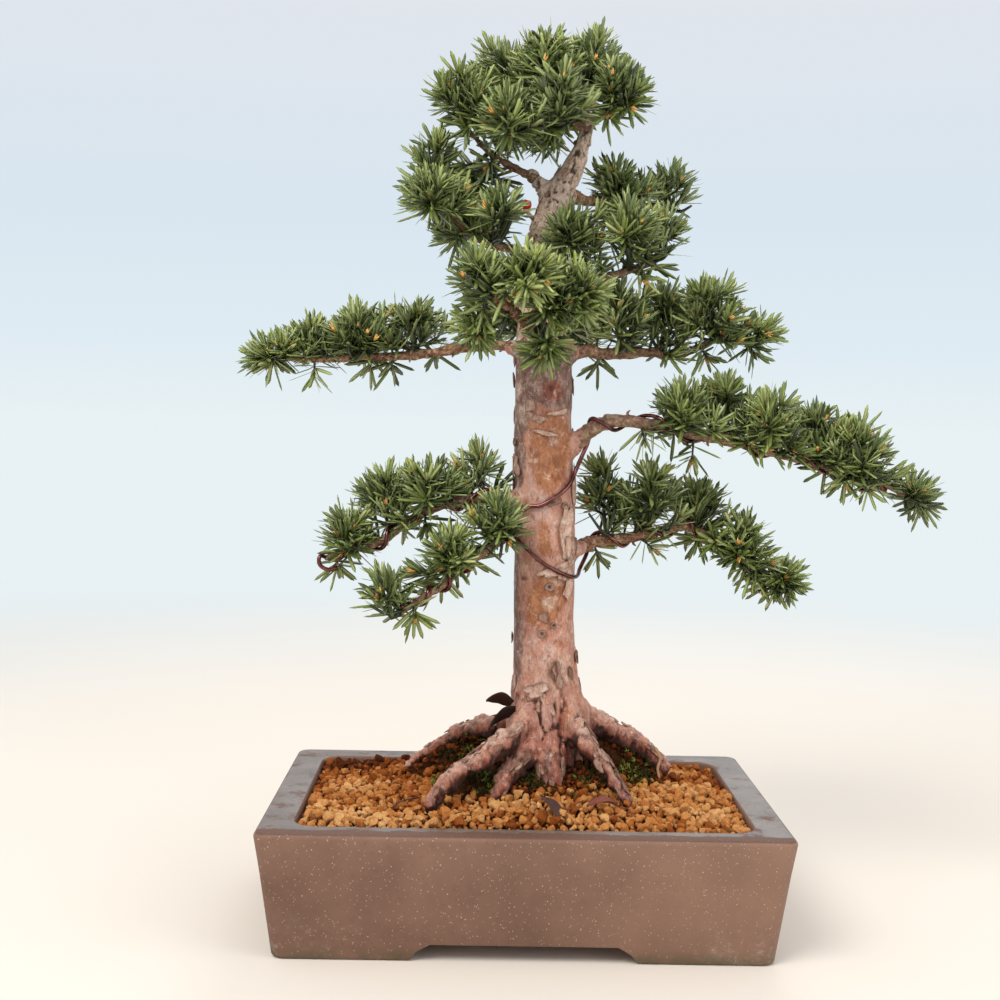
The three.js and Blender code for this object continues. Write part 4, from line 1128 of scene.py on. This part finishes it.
def trunk_skin():
    """Trunk, roots and the starts of the thick branches as one smooth skin."""
    gathered = Shape()
    heights = np.linspace(62, 576, 150)
    x, y, radii = trunk_at(heights)
    gathered.add(*tube(np.stack([x, y, heights], 1), radii + 0.3, 48))
    for limb in root_limbs:
        gathered.add(*tube(limb.points[::3], limb.radii[::3] + 0.4, 20))
    for name, limb in limbs.items():
        x, y, radius = trunk_at(limb.points[0][2])
        if name in ("front_fork", "aril_twig") or radius < 7:
            continue
        out = np.hypot(limb.points[:, 0] - x, limb.points[:, 1] - y) - radius
        last = int(np.argmax(out > 13)) if (out > 13).any() else 30
        flare = 1 + 0.45 * np.exp(-(np.maximum(out[:last], 0) / 5) ** 2)
        flare *= 1 - 0.25 * ease(out[:last], 8, 13)
        gathered.add(*tube(limb.points[:last:2], (limb.radii[:last] * flare)[::2], 18))
    points, faces, mesh = remeshed(gathered, 1.75)
    points = relaxed(points, faces, 5)
    normals = normals_of(points, mesh)
    bpy.data.meshes.remove(mesh)
    return points, faces, normals


def make_trunk():
    points, faces, normals = trunk_skin()
    height = points[:, 2]
    x, y, radius = trunk_at(height)
    away = points[:, :2] - np.stack([x, y], 1)
    angle = np.degrees(np.arctan2(away[:, 1], away[:, 0]))
    on_stem = 1 - ease(np.hypot(*away.T) - radius, 2, 8)
    on_root = 1 - on_stem
    low_down = 1 - ease(height, 120, 190)
    crown = ease(height, 395, 450)
    ridges = layered_noise(points * [1, 1, 0.3], 8, 3, 1)
    scales = ease(layered_noise(points * [1, 1, 0.55], 8, 3, 2), 0.0, 0.25)
    move = ridges * (0.45 + low_down + 0.6 * crown + 0.4 * on_root)
    move += scales * (0.28 + 1.2 * crown + 0.6 * low_down + 0.6 * on_root)
    move += 1.1 * layered_noise(points, 4.5, 2, 17) * np.maximum(on_root, 0.6 * low_down)
    # Folds where the roots part, as thin deep creases
    folds = layered_noise(points * [1, 1, 0.16], 8, 3, 7)
    crease = np.exp(-((folds / 0.13) ** 2))
    move += (4.4 * np.abs(folds) - 2.4 * crease) * low_down * np.maximum(on_stem, 0.3)
    cracks = np.exp(-((layered_noise(points * [1, 1, 0.6], 7, 3, 33) / 0.1) ** 2))
    move -= (1.6 * crown + 0.5 * on_root) * cracks
    points = points + normals * (move - 0.3)[:, None]

    def ovals(*rows):
        """Oval patches of the trunk, each a strength, an angle, a height and half sizes."""
        return sum(
            strength * bump((angle - at_angle + 180) % 360 - 180, height, 0, *place)
            for strength, at_angle, *place in rows
        )

    speckle = layered_noise(points, 14, 3, 12)
    orange = ovals(
        (1.2, -72, 336, 46, 20), (0.9, -84, 312, 30, 14), (1.1, -100, 222, 30, 18), (0.8, -62, 232, 26, 16),
        (0.8, -95, 268, 16, 18), (0.7, -60, 136, 22, 16), (0.8, 60, 300, 40, 40), (0.8, 150, 230, 30, 30),
        (0.6, 100, 200, 40, 18), (0.5, 20, 350, 30, 20),
    )
    grey = ovals(
        (1.1, -80, 378, 90, 16), (1.2, -160, 350, 28, 60), (0.9, -165, 240, 22, 60), (0.7, -20, 380, 60, 20),
        (0.6, -150, 190, 25, 30), (0.8, 90, 370, 90, 25), (0.6, 80, 250, 40, 30),
    )
    # Red bark at the foot and in a patch up the front; in the creases its darkness is partly painted shade
    red = 0.8 * low_down * crease * on_stem + 0.9 * ovals((1, -72, 371, 26, 9))
    red += 0.25 * low_down * ease(height, 165, 120) + 0.65 * ovals((1, -75, 118, 34, 30)) * on_stem
    under = -normals[:, 2]
    # Painted shade: the roots turn a darker red on their undersides, over the bark's own red
    red += on_root * ease(height, 240, 170) * (0.08 + 0.45 * ease(under, -0.7, 0.1))
    pale = crown * (0.55 + 0.4 * scales) + 0.3 * low_down * on_stem * ease(ridges, 0.1, 0.5)
    pale += 0.4 * ease(height, 130, 190) * (1 - crown) * ease(speckle, 0.3, 0.8)
    # Painted highlight: the upper sides of the roots are paler
    pale += 0.34 * on_root * ease(height, 240, 170) * ease(under, -0.2, -0.9)
    # The dark value: darker where the bark meets the soil and along the cracks, and painted shade as marked
    # below
    near_soil = ease(points[:, 2] - mound_height(points[:, 0], points[:, 1]), 4, -3)
    # Painted shade on the undersides of the roots
    down = ease(under, -0.35, 0.6) * on_root * ease(height, 240, 150)
    # Painted shade in the crotches where the roots part from the trunk
    crotches = ovals(
        (0.6, -112, 112, 20, 22), (0.6, -52, 116, 14, 24), (0.6, -150, 118, 16, 20), (0.6, -28, 128, 14, 18)
    )
    dark = 0.6 * near_soil + 0.8 * down + 0.75 * crown * cracks + 0.12 * crown
    # Painted shade in the crotches, and in a band just under the lowest branches
    dark += crotches * (0.3 + 0.7 * on_stem) + ovals((0.25, -80, 384, 90, 14))
    # Painted shade in the creases at the foot of the trunk and on the roots
    dark += low_down * crease * (1.1 * on_stem + 0.5 * on_root) + 0.25 * on_root * cracks
    orange, grey = orange * on_stem + 0.15 * speckle, grey * on_stem + 0.2 * speckle
    shape = Shape()
    shape.add(points, faces, orange=orange, grey=grey, red=red, pale=pale, dark=dark)
    shape.piece("trunk_and_roots", "trunk_bark", "bark", "tree")


def make_branches():
    """The branches with scaly bark, small knots and old leaf scars."""
    random = np.random.default_rng(8)
    shape = Shape()
    sides = 12
    turns = circle(sides)
    for number, limb in enumerate(limbs.values()):
        places = np.linspace(0, 1, max(12, int(limb.length / 2)))
        along = (places * limb.length)[:, None]
        radii = np.interp(places, np.linspace(0, 1, Limb.SAMPLES + 1), limb.radii)[:, None]
        grid = np.broadcast_arrays(np.cos(turns) * radii, np.sin(turns) * radii, along)
        grid = np.stack(grid, -1).reshape(-1, 3)
        coarse = layered_noise(grid + 31 * number, 5, 3, number).reshape(len(places), sides)
        bulge = 0
        for _ in range(int(limb.length / 9)):
            at, turn = random.uniform(0, limb.length), random.uniform(0, 2 * np.pi)
            spin = (turns - turn + np.pi) % (2 * np.pi) - np.pi
            bulge += 0.35 * bump(along, spin, at, 0, 2.2, 0.7)
        points = np.array([limb.at(share) for share in places])
        radii = radii * (1 + 0.24 * coarse + bulge)
        shape.add(*tube(points, radii, sides), grey=0.25 + 0.2 * (number % 3))
        # Little stubs and bud scars
        for _ in range(int(limb.length / 14)):
            share, turn = random.uniform(0.12, 0.95), random.uniform(0, 2 * np.pi)
            reach = random.uniform(1.2, 3.2)
            line = [limb.surface(share, turn, out) for out in (-1, reach * 0.5, reach)]
            line[2] = line[2] + limb.at(share, limb.tangents) * reach * 0.5
            shape.add(*tube(line, [1.3, 0.9, 0.45], 6), grey=0.1)
    shape.piece("branches", "branch_bark", "bark")


def make_peeling_bark():
    """Plates of bark that come away from the trunk, with knots and scars."""
    random = np.random.default_rng(21)
    shape = Shape()

    def on_stem(angle, height, lean=0.0):
        def surface(across, up, out):
            z = height + up * math.cos(lean) - across * math.sin(lean)
            side = across * math.cos(lean) + up * math.sin(lean)
            return on_trunk(angle + math.degrees(side / trunk_at(z)[2]), z, out + 0.6)

        return surface

    def plate(angle, height, across, tall, curl, seed, lean=0.0, shade=0.0, sides=22):
        profile = [(0.35, 0.25), (0.7, 0.35 + 0.1 * curl), (0.9, 0.4 + 0.45 * curl), (1, 0.4 + 0.8 * curl)]
        profile += [(0.99, 0.1 + 0.8 * curl), (0.8, -0.1 + 0.3 * curl), (0.5, -0.4)]
        mesh, edge = patch(on_stem(angle, height, lean), across, tall, profile, 0.5, seed, sides)
        shape.add(*mesh, edge=edge, shade=shade)

    def knot(angle, height, size, seed):
        profile = [(0.3, 0.1), (0.5, 0.5), (0.68, 1.5), (0.84, 1.4), (1, -0.3), (0.9, -1.2)]
        mesh, edge = patch(on_stem(angle, height), size, size * 0.85, profile, 0.2, seed, 20)
        # Painted shade: the hole value darkens the hollow in the knot's middle
        hole = np.clip(1 - edge / 0.5, 0, 1)
        hole[-1] = 0
        shape.add(*mesh, edge=edge, shade=0.55, hole=hole)

    for row in FRONT_PLATES:
        plate(*row)
    for seed, (angle, height, size) in enumerate(KNOTS, 31):
        knot(angle, height, size, seed)
    # Plates on the sides and back
    for seed in range(60, 78):
        angle, height = random.uniform(-20, 220), random.uniform(160, 385)
        across, tall, curl = random.uniform(3, 6), random.uniform(5, 15), random.uniform(0.3, 0.9)
        lean, shade = random.uniform(-0.4, 0.4), random.uniform(0, 0.4)
        plate(angle, height, across, tall, curl, seed, lean, shade, 16)
    # Small scales, thick on the upper trunk and round the foot of the tree
    for seed in range(100, 220):
        bands = [random.uniform(398, 535), random.uniform(132, 185), random.uniform(185, 398)]
        height = random.choice(bands, p=[0.66, 0.2, 0.14])
        size = min(1.0, trunk_at(height)[2] / 14)
        angle, across = random.uniform(0, 360), random.uniform(1.2, 3.0) * size
        tall, curl = random.uniform(3, 8) * size, random.uniform(0.4, 1.3) * size
        lean = random.uniform(-0.4, 0.4)
        shade = random.uniform(0, 0.5) if height > 398 else random.uniform(0.45, 0.9)
        plate(angle, height, across, tall, curl, seed, lean, shade, 12)
    # Strips along the roots
    for number, limb in enumerate(root_limbs):
        for k in range(13):
            share, up = random.uniform(0.22, 0.86), random.uniform(-1.5, 1.5)
            ups = limb.at(share, limb.normals)[2], limb.at(share, limb.binormals)[2]
            turn = math.atan2(ups[1], ups[0]) + up

            def surface(across, along, out, limb=limb, share=share, turn=turn):
                there = share + along / limb.length
                return limb.surface(there, turn + across / limb.at(there, limb.radii), out + 0.9)

            curl = random.uniform(0.2, 0.9)
            profile = [(0.35, 0.2), (0.75, 0.35), (1, 0.3 + 0.7 * curl), (0.97, 0.7 * curl), (0.6, -0.5)]
            half_sizes = random.uniform(0.9, 2.2), random.uniform(3.5, 9)
            mesh, edge = patch(surface, *half_sizes, profile, 0.5, 300 + 20 * number + k, 12)
            shape.add(*mesh, edge=edge, shade=random.uniform(0.35, 0.95))
    shape.piece("peeling_bark", "peeling_bark", "bark")


# The foliage


def lobe_reach(lobe, way):
    return 1 / math.sqrt(sum((way[k] / lobe[3 + k]) ** 2 for k in range(3)))


def spray_frame(limb, lobe):
    """The middle of a spray, the way it leads, its fork and the place on the branch where it starts."""
    centre = np.array(lobe[:3], float)
    near = limb.closest(centre)
    offset = centre - limb.points[near]
    flat = math.hypot(offset[0], offset[1])
    if near / Limb.SAMPLES > 0.98 and (np.linalg.norm(offset) < 6 or flat > abs(offset[2])):
        lead = limb.tangents[-1]
    else:
        lead = np.array([0, 0, -1.0 if offset[2] < -8 else 1.0])
    fork = centre - 0.42 * lobe_reach(lobe, lead) * lead
    near = limb.closest(fork)
    clear = limb.radii[near] + 6
    if np.linalg.norm(fork - limb.points[near]) < clear:
        fork = limb.points[near] + clear * lead
    return centre, lead, fork, limb.points[limb.closest(fork)]


def shoot_lines(branch, number, random):
    """The shoots of a spray as lines of points, fanned from its stem over the lobe and its gaps."""
    lobes = LOBES[branch]
    lobe = lobes[number]
    centre, lead, fork, root = spray_frame(limbs[branch], lobe)
    top = centre + lead * (lobe_reach(lobe, lead) - SHOOT_INSET)
    pole = unit(lead + [0, 0, 0.6])
    across = unit(np.cross(pole, [0.3, 1, 0.2]))
    aside = np.cross(pole, across)
    last = number == 0 and branch.startswith("left") or number == len(lobes) - 1
    count = 11 if branch.startswith(("left_low", "right_low")) else 14
    if last and lobe[3] < 30 and not branch.startswith("crown"):
        count = 6
    phase = random.uniform(0, 2 * math.pi)
    tips = []
    for k in range(count):
        cosine = 0.97 - 1.3 * k / (count - 1) + random.uniform(-0.1, 0.1)
        sine = math.sqrt(max(0, 1 - cosine**2))
        turn = phase + k * GOLDEN_TURN + random.uniform(-0.6, 0.6)
        way = pole * cosine + (across * math.cos(turn) + aside * math.sin(turn)) * sine
        reach = max(lobe_reach(lobe, way) - SHOOT_INSET, 6) * random.uniform(0.5, 1.28)
        tips.append(centre + way * reach + random.normal(0, 1.5, 3))
    # Shoots that close the gap to the next lobe of the branch
    for other in lobes[number + 1 :]:
        apart = np.array(other[:3]) - centre
        gap = np.linalg.norm(apart)
        way = apart / gap
        if gap < lobe_reach(lobe, way) + lobe_reach(other, way) + 8:
            for _ in range(3):
                spread = random.uniform(-0.5, 0.6, 3) * [6, lobe[4], lobe[5]]
                tips.append(centre + apart * random.uniform(0.42, 0.6) + spread)
    stem = smooth_line([root, fork, top], 10)
    lines = [np.array([root, fork, top])]
    for tip in tips:
        near = np.linalg.norm(stem - tip, axis=1)
        level = (stem - tip) @ -lead
        base = stem[int(np.argmin(near + 2.2 * np.maximum(0, near * 0.55 - level)))]
        rise = np.linalg.norm(tip - base)
        bend = base + (tip - base) * 0.5 - lead * 0.1 * rise + random.normal(0, 0.06 * rise, 3)
        lines.append(np.array([base, bend, tip]))
    return lines


def low_shoots(branch, number, random):
    """Short shoots on the branch itself, under and beside a lobe."""
    limb, lobe = limbs[branch], LOBES[branch][number]
    near = limb.closest(np.array(lobe[:3], float))
    lines = []
    crown = branch.startswith("crown")
    for _ in range(8 if crown else 4):
        share = near / Limb.SAMPLES + random.uniform(-1, 1) * (1.3 if crown else 0.8) * lobe[3] / limb.length
        if not 0.12 < share < 0.99:
            continue
        base = limb.at(share)
        if off_trunk(base) < (5 if crown else 16):
            continue
        hangs = random.uniform() < (0.5 if crown else 0.28)
        aim = random.normal(0, 1, 3) * [0.7, 1, 0.55] + [0, 0, -1.1 if hangs else 0.35]
        ahead = limb.at(share, limb.tangents)
        aim = unit(aim - 0.8 * (aim @ ahead) * ahead + 0.3 * ahead)
        reach = random.uniform(7, 18 if crown else 15) + limb.at(share, limb.radii)
        lines.append(np.array([base, base + aim * reach * 0.5 + [0, 0, 0.8], base + aim * reach]))
    return lines


def leafy_shoot(shape, line, fresh, kind, random, needles):
    """A twig along the line, its needles and its bud."""
    steps = 5
    path = smooth_line(line, steps)
    radius, bare, count = SHOOTS[kind]
    bare = bare or max(0.12, 1 - 30 / line_length(path))
    shape.add(*tube(path, np.linspace(radius, 0.7, steps + 1), 5), look=1, young=0.1 + 0.45 * fresh)
    share = np.sort(random.uniform(0, 1, count)) ** 0.85
    index = (bare + (1 - bare) * share) * steps
    k = np.minimum(index.astype(int), steps - 1)
    roots = path[k] + (index - k)[:, None] * (path[k + 1] - path[k])
    frames = frames_along(path)
    tangents, normals, binormals = (values[k] for values in frames)
    turns = np.arange(count) * GOLDEN_TURN + random.uniform(0, 6.3)
    opens = np.radians(74 - 46 * share**1.3 + random.normal(0, 8, count))
    out = around(normals, binormals, turns)
    ways = unit(around(tangents, out, opens))
    # Level shoots hold their needles in two rows, and all needles turn a little to the light
    level = 1 - abs(unit(path[-1] - path[0])[2])
    ways[:, 2] = ways[:, 2] * (1 - 0.4 * level) + 0.14
    ways = unit(ways + random.normal(0, 0.08, (count, 3)))
    flats = unit(0.9 * tangents + [0, 0, 0.5] + random.normal(0, 0.22, (count, 3)))
    lengths = random.uniform(17, 24, count) * (1 - 0.3 * share**3) * (1 - 0.22 * (fresh > 0.75))
    lengths *= 0.82 + 0.18 * np.minimum(share * 4, 1)
    widths = random.uniform(2.4, 3.1, count)
    bends = random.normal(0.6, 1.0, count)
    new = np.clip(fresh * (0.3 + 0.7 * share) + random.normal(0, 0.1, count), 0, 1)
    shade = np.clip(random.normal(0.24, 0.16) + random.normal(0.32, 0.2, count) + 0.1 * share, 0, 1)
    needles.append((roots, ways, flats, lengths, widths, bends, new, shade, np.zeros(count)))
    if random.uniform() < 0.5:
        scales = int(random.integers(4, 8))
        aim, side, other = (values[-1] for values in frames)
        out = around(side, other, np.arange(scales) * GOLDEN_TURN)
        ways = unit(aim + out * random.uniform(0.1, 0.42, scales)[:, None])
        needles.append((
            np.tile(path[-1], (scales, 1)), ways, np.tile(aim, (scales, 1)) + 0.3 * ways[:, ::-1],
            random.uniform(4.0, 8.0, scales), random.uniform(1.9, 2.7, scales), np.zeros(scales),
            np.zeros(scales), random.uniform(0, 1, scales), np.ones(scales),
        ))


def make_spray(branch, number, random):
    lobe, limb = LOBES[branch][number], limbs[branch]
    centre = np.array(lobe[:3], float)
    shape, gathered = Shape(), []
    stem, *tips = shoot_lines(branch, number, random)
    shoots = [(stem, "stem"), *((line, "tip") for line in tips)]
    shoots += [(line, "low") for line in low_shoots(branch, number, random)]
    for line, kind in shoots:
        upper = ease(line[-1][2] - lobe[2], -0.6 * lobe[5], 0.5 * lobe[5])
        fresh = np.clip(lobe[6] * random.uniform(0.2, 1.4) * (0.35 + 0.65 * upper), 0, 1)
        if kind == "tip" and upper > 0.6 and random.uniform() < 0.3:
            fresh = random.uniform(0.6, 1)
        leafy_shoot(shape, line, fresh, kind, random, gathered)
    # Bare twigs under the spray
    for _ in range(3):
        start = min(0.97, max(0.15, limb.closest(centre) / Limb.SAMPLES + random.uniform(-0.07, 0.05)))
        base = limb.at(start)
        if off_trunk(base) < 12:
            continue
        tip = centre + random.uniform([-0.7, -0.8, -0.5], [0.7, 0.5, 0.1]) * lobe[3:6]
        sag = base + 0.5 * (tip - base) + [0, 0, -0.14 * np.linalg.norm(tip - base)]
        shape.add(*tube(smooth_line([base, sag, tip], 6), np.linspace(1.7, 0.9, 7), 5), look=1)
    *blade, new, shade, bud = (np.concatenate(parts) for parts in zip(*gathered))
    # Needles inside the spray are darker and less fresh, partly as older needles and partly as painted
    # shade; those in its lower part get painted shade
    from_middle = (blade[0] + 0.6 * blade[1] * blade[3][:, None] - centre) / lobe[3:6]
    inside = ease(np.linalg.norm(from_middle, axis=1), 1.0, 0.4)
    below = ease(from_middle[:, 2], -0.1, -0.7)
    shade = np.where(bud > 0.5, shade, np.clip(shade - 0.22 * inside - 0.1 * below, 0, 1))
    values = {"fresh": new * (1 - 0.8 * inside), "shade": shade, "bud": bud}
    for chosen, form, thick in ((bud < 0.5, NEEDLE_SHAPE, 0.32), (bud > 0.5, SCALE_SHAPE, 0.5)):
        points, quads, ends, margin = blades(*(column[chosen] for column in blade), form, thick)
        each = {key: np.repeat(value[chosen], 3 * len(form) + 1) for key, value in values.items()}
        shape.add(points, quads, ends, margin=margin, **each)
    name = f"{branch}_{number + 1}"
    shape.piece("foliage_" + name, "needle twig", "needles", "spray_" + name)


def make_foliage():
    for row, (branch, lobes) in enumerate(LOBES.items()):
        for number in range(len(lobes)):
            make_spray(branch, number, np.random.default_rng(300 + 10 * row + number))


# Wires, the aril and what lies on the soil


def coil(branch, start, end, turns, phase):
    steps = abs(turns) * 28
    return [
        limbs[branch].surface(
            start + (end - start) * i / steps, math.radians(phase) + 2 * math.pi * turns * i / steps,
            WIRE_CLEAR + WIRE_RADIUS,
        )
        for i in range(steps + 1)
    ]


def make_wires():
    for name, route in WIRES.items():
        link = smooth_line([[angle, height, 0] for angle, height in route["link"]], 40)
        across = [on_trunk(angle, height, WIRE_CLEAR + 0.5 + WIRE_RADIUS) for angle, height, _ in link]
        first, last = coil(*route["from"]), coil(*route["to"])
        start = smooth_line([*route["start"], first[0]], 20)[:-1]
        end = smooth_line([last[-1], *route["end"]], 40)[1:] if route["end"] else []
        path = np.array([*start, *first, *across, *last, *end])
        # Even out the change from coil to link
        for _ in range(6):
            path[1:-1] += 0.5 * ((path[:-2] + path[2:]) / 2 - path[1:-1])
        keep = [0]
        for i in range(1, len(path)):
            if np.linalg.norm(path[i] - path[keep[-1]]) > 0.9:
                keep.append(i)
        shape = Shape()
        shape.add(*tube(path[keep], WIRE_RADIUS, 9))
        shape.piece("copper_" + name, "copper_wire", "wire", name)


def make_aril():
    cup = [
        (1.4, 0), (2.6, 0.5), (3.5, 1.6), (4.0, 3.2), (3.95, 4.6), (3.6, 5.8), (3.0, 6.6), (2.4, 7.0),
        (2.0, 6.7), (1.8, 5.6), (1.7, 4.2), (1.2, 3.2),
    ]
    seed = [(0.3, 3.4), (1.2, 3.8), (1.5, 4.8), (1.3, 5.8), (0.6, 6.4), (0.1, 6.6)]
    shape = Shape()
    for profile, sides, is_seed in ((cup, 28, 0), (seed, 16, 1)):
        points, *faces = lathe(profile, sides)
        shape.add(points + ARIL_FOOT, *faces, seed=is_seed)
    shape.piece("ripe_aril", "aril", "aril", "aril")


def make_crumbs(random):
    """Dark crumbs on the earth between the roots, and behind them."""
    shape = Shape()
    ball, faces = sphere(1)

    def crumb(x, y, random, largest, lift):
        z = float(mound_height(x, y))
        share = (z - float(soil_height(x, y))) / 12
        place = np.array([x, y, z + random.uniform(-1.2, 0.6) + lift])
        if share < 0.16 or root_distance(place[None])[0] < -0.5:
            return
        size = random.uniform(0.7, largest) * (1.25 if share < 0.5 else 1)
        points = ball * random.uniform(0.6, 1.25, (len(ball), 1)) * random.uniform(0.7, 1.2, 3)
        shade = random.uniform(-0.3, 0.06) + 0.85 * max(0, 0.75 - share) * random.uniform(0.3, 1)
        shape.add(place + size * points, faces, smooth=False, shade=shade + 0.24 * lift)

    for _ in range(4300):
        crumb(16 + random.normal(0, 40), -2 + random.normal(0, 30), random, 2.1, 0)
    behind = np.random.default_rng(72)
    for x, y, wide, deep, tries in ((-38, 42, 26, 11, 1000), (58, 28, 24, 10, 650)):
        for _ in range(tries):
            crumb(x + behind.normal(0, wide), y + behind.normal(0, deep), behind, 2.7, 0.6)
    shape.piece("dark_crumbs", "akadama", "soil")


def make_moss(random):
    """Cushions of short leaves, bright in a few places."""
    ring = list(zip(random.uniform(0, 6.3, 26), random.uniform(0.55, 1.15, 26)))
    places = [(16 + 44 * math.cos(t) * r, -4 + 34 * math.sin(t) * r) for t, r in ring] + CUSHIONS
    tufts = []
    for number, (x, y) in enumerate(places):
        bright = [0.95, 1.0, 0.55][number % 3] if number > 29 else random.uniform(0.2, 0.65)
        for _ in range(int(random.uniform(16, 44) * (1 if number < len(ring) else 1.4))):
            at = np.array([x, y]) + random.normal(0, 5.5, 2)
            base = np.array([*at, float(mound_height(*at)) + random.uniform(-0.6, 1.6)])
            if root_distance(base[None])[0] < -0.5:
                continue
            shade = np.clip(bright * random.uniform(0.3, 1.05), 0, 1)
            tufts += [(base + random.normal(0, 0.6, 3), shade) for _ in range(6)]
    count = len(tufts)
    roots = np.array([base for base, _ in tufts])
    ways = unit(random.normal(0, 0.6, (count, 3)) + [0, 0, 1])
    flats = unit(random.normal(size=(count, 3)))
    lengths, widths = random.uniform(1.6, 3.8, count), np.full(count, 1.05)
    bends = random.normal(0, 0.5, count)
    points, quads, ends, _ = blades(roots, ways, flats, lengths, widths, bends, SCALE_SHAPE, 0.2)
    shape = Shape()
    shape.add(points, quads, ends, shade=np.repeat([shade for _, shade in tufts], len(points) // count))
    shape.piece("moss", "moss", "soil")


def curled_leaf(middle, heading, length, width, lift, curl, roll=0.0, slope=0.0):
    """Points and faces of a dry leaf: a thin closed sheet, curled along its length and across."""
    columns, rows = 19, 7
    frame_x = np.array([math.cos(heading), math.sin(heading), 0])
    frame_y = np.array([-math.sin(heading), math.cos(heading), 0])
    points = []
    for thickness in (0.22, -0.22):
        for u in np.linspace(0, 1, columns):
            half = width / 2 * math.sin(math.pi * min(1, 0.04 + u * 0.96) ** 0.8) ** 0.85
            torn = 0.14 * width * grain_noise([[5 * u, middle[0], middle[1]]], 4)[0]
            for v in np.linspace(-1, 1, rows):
                up = lift * 4 * u * (1 - u) + curl * abs(v) ** 1.6 * (0.4 + u) + roll * v * half
                up += slope * (u - 0.5) * length
                up += thickness + 0.25 * math.sin(9 * u + 4 * v) * abs(v)
                across = v * half + v * abs(v) * torn * math.sin(math.pi * u)
                point = np.array(middle) + frame_x * (u - 0.5) * length + frame_y * across
                points.append(point + [0, 0, up])
    return points, *(block[:, FLIPPED] for block in slab(columns, rows))


def make_litter():
    """Dry leaves, stalks, a rootlet, a leaf chip and a twig on the soil."""
    shape = Shape()

    def ground(x, y, up=2.0):
        return [x, y, soil_height(x, y) + up]

    for shade, middle, *form in [
        (0.12, [-17, -6, 149], 3.05, 20, 11, 2.0, 0.8, 1.0),
        (0.0, [-14, -10, 138], 2.75, 21, 9.5, 1.5, 2.2, 0.9, -0.75),
        (0.2, ground(17, -82, 6), 2.2, 20, 15, 3.5, 1.8, 0.5, 0.45),
        (0.62, ground(52, -70, 4), 0.1, 21, 8, 3.5, 2.2, 0.2),
        (1.0, ground(63, -30, 3), 1.2, 12, 6, 1.5, 1.2, 0.5),
        (0.4, ground(-62, 56, 3), 0.8, 18, 8, 3, 2),
        (0.6, ground(60, 78, 3), 2.6, 16, 7, 2.5, 2),
    ]:
        shape.add(*curled_leaf(middle, *form), shade=shade)
    for radius, shade, *line in [
        (0.6, 0.6, ground(24, -70), ground(30, -74, 3), ground(36, -66, 4), ground(40, -60, 3)),
        (0.5, 0.5, ground(64, -66, 3), ground(70, -70, 4), ground(72, -76, 2)),
        (1.4, 0.85, [96, 2, 116], [99, -3, 110], [97, -6, 103], [98, -9, 97]),
        (0.6, 0.3, ground(-90, -60), ground(-84, -50, 3), ground(-76, -46, 3), ground(-68, -40, 2)),
    ]:
        line = smooth_line(line, 20)
        shape.add(*tube(line, np.linspace(radius, radius * 0.6, len(line)), 7), shade=shade)
    shape.piece("litter", "dry_leaf", "bark")


make_pot()
make_screens()
make_soil()
make_grains()
make_trunk()
make_branches()
make_peeling_bark()
make_foliage()
make_wires()
make_aril()
on_mound = np.random.default_rng(71)
make_crumbs(on_mound)
make_moss(on_mound)
make_litter()


# Floor, light and camera


def make_floor():
    mesh = bpy.data.meshes.new("floor")
    size = 14
    corners = [(-size, -size, 0), (size, -size, 0), (size, size, 0), (-size, size, 0)]
    mesh.from_pydata(corners, [], [(0, 1, 2, 3)])
    mesh.materials.append(looks["pale_floor"])
    floor = placed("floor", mesh)
    floor.location.z = -0.0005


def area_light(name, place, aim, size, power, colour):
    light = bpy.data.lights.new(name, "AREA")
    light.shape, light.size, light.energy, light.color = "DISK", size, power, colour
    obj = placed(name, light)
    obj.location = place
    obj.rotation_euler = (Vector(aim) - Vector(place)).to_track_quat("-Z", "Y").to_euler()


def make_world():
    world = bpy.data.worlds.new("studio")
    bpy.context.scene.world = world
    world.use_nodes = True
    nodes, links = world.node_tree.nodes, world.node_tree.links
    nodes.clear()
    split = nodes.new("ShaderNodeSeparateXYZ")
    links.new(nodes.new("ShaderNodeTexCoord").outputs["Generated"], split.inputs[0])
    ramp = nodes.new("ShaderNodeValToRGB")
    links.new(split.outputs["Z"], ramp.inputs[0])
    sky = [(0, *HORIZON), (0.05, 224, 236, 243), (0.14, 217, 230, 240), (0.3, 226, 229, 236)]
    fill_ramp(ramp.color_ramp, sky)
    background = nodes.new("ShaderNodeBackground")
    links.new(ramp.outputs[0], background.inputs["Color"])
    links.new(background.outputs[0], nodes.new("ShaderNodeOutputWorld").inputs["Surface"])


def make_camera():
    """The camera at the photograph's place: its turn, tilt and roll in degrees."""
    pitch, yaw, roll = math.radians(2.98), math.radians(0.77), math.radians(1.17)
    ahead = Vector((math.sin(yaw) * math.cos(pitch), math.cos(yaw) * math.cos(pitch), -math.sin(pitch)))
    level = Vector((math.cos(yaw), -math.sin(yaw), 0))
    upward = level.cross(ahead)
    right = level * math.cos(roll) + upward * math.sin(roll)
    up = upward * math.cos(roll) - level * math.sin(roll)
    data = bpy.data.cameras.new("camera")
    data.sensor_width, data.lens = 36, 52.265
    camera = placed("camera", data)
    turn = Matrix((right, up, -ahead)).transposed().to_4x4()
    place = (np.array([-33.7, -1033.0, 347.0]) + ORIGIN) / 1000
    camera.matrix_world = Matrix.Translation(place) @ turn
    bpy.context.scene.camera = camera


make_floor()
make_world()
area_light("key", (-1.0, -1.3, 1.9), (0, 0, 0.3), 1.3, 34, (1, 0.98, 0.95))
area_light("fill", (1.6, -1.0, 1.0), (0, 0, 0.3), 1.6, 12, (0.97, 0.98, 1))
area_light("back", (0.4, 1.8, 1.7), (0, 0, 0.35), 1.2, 14, (1, 1, 1))
make_camera()
bpy.context.scene.view_settings.view_transform = "Standard"
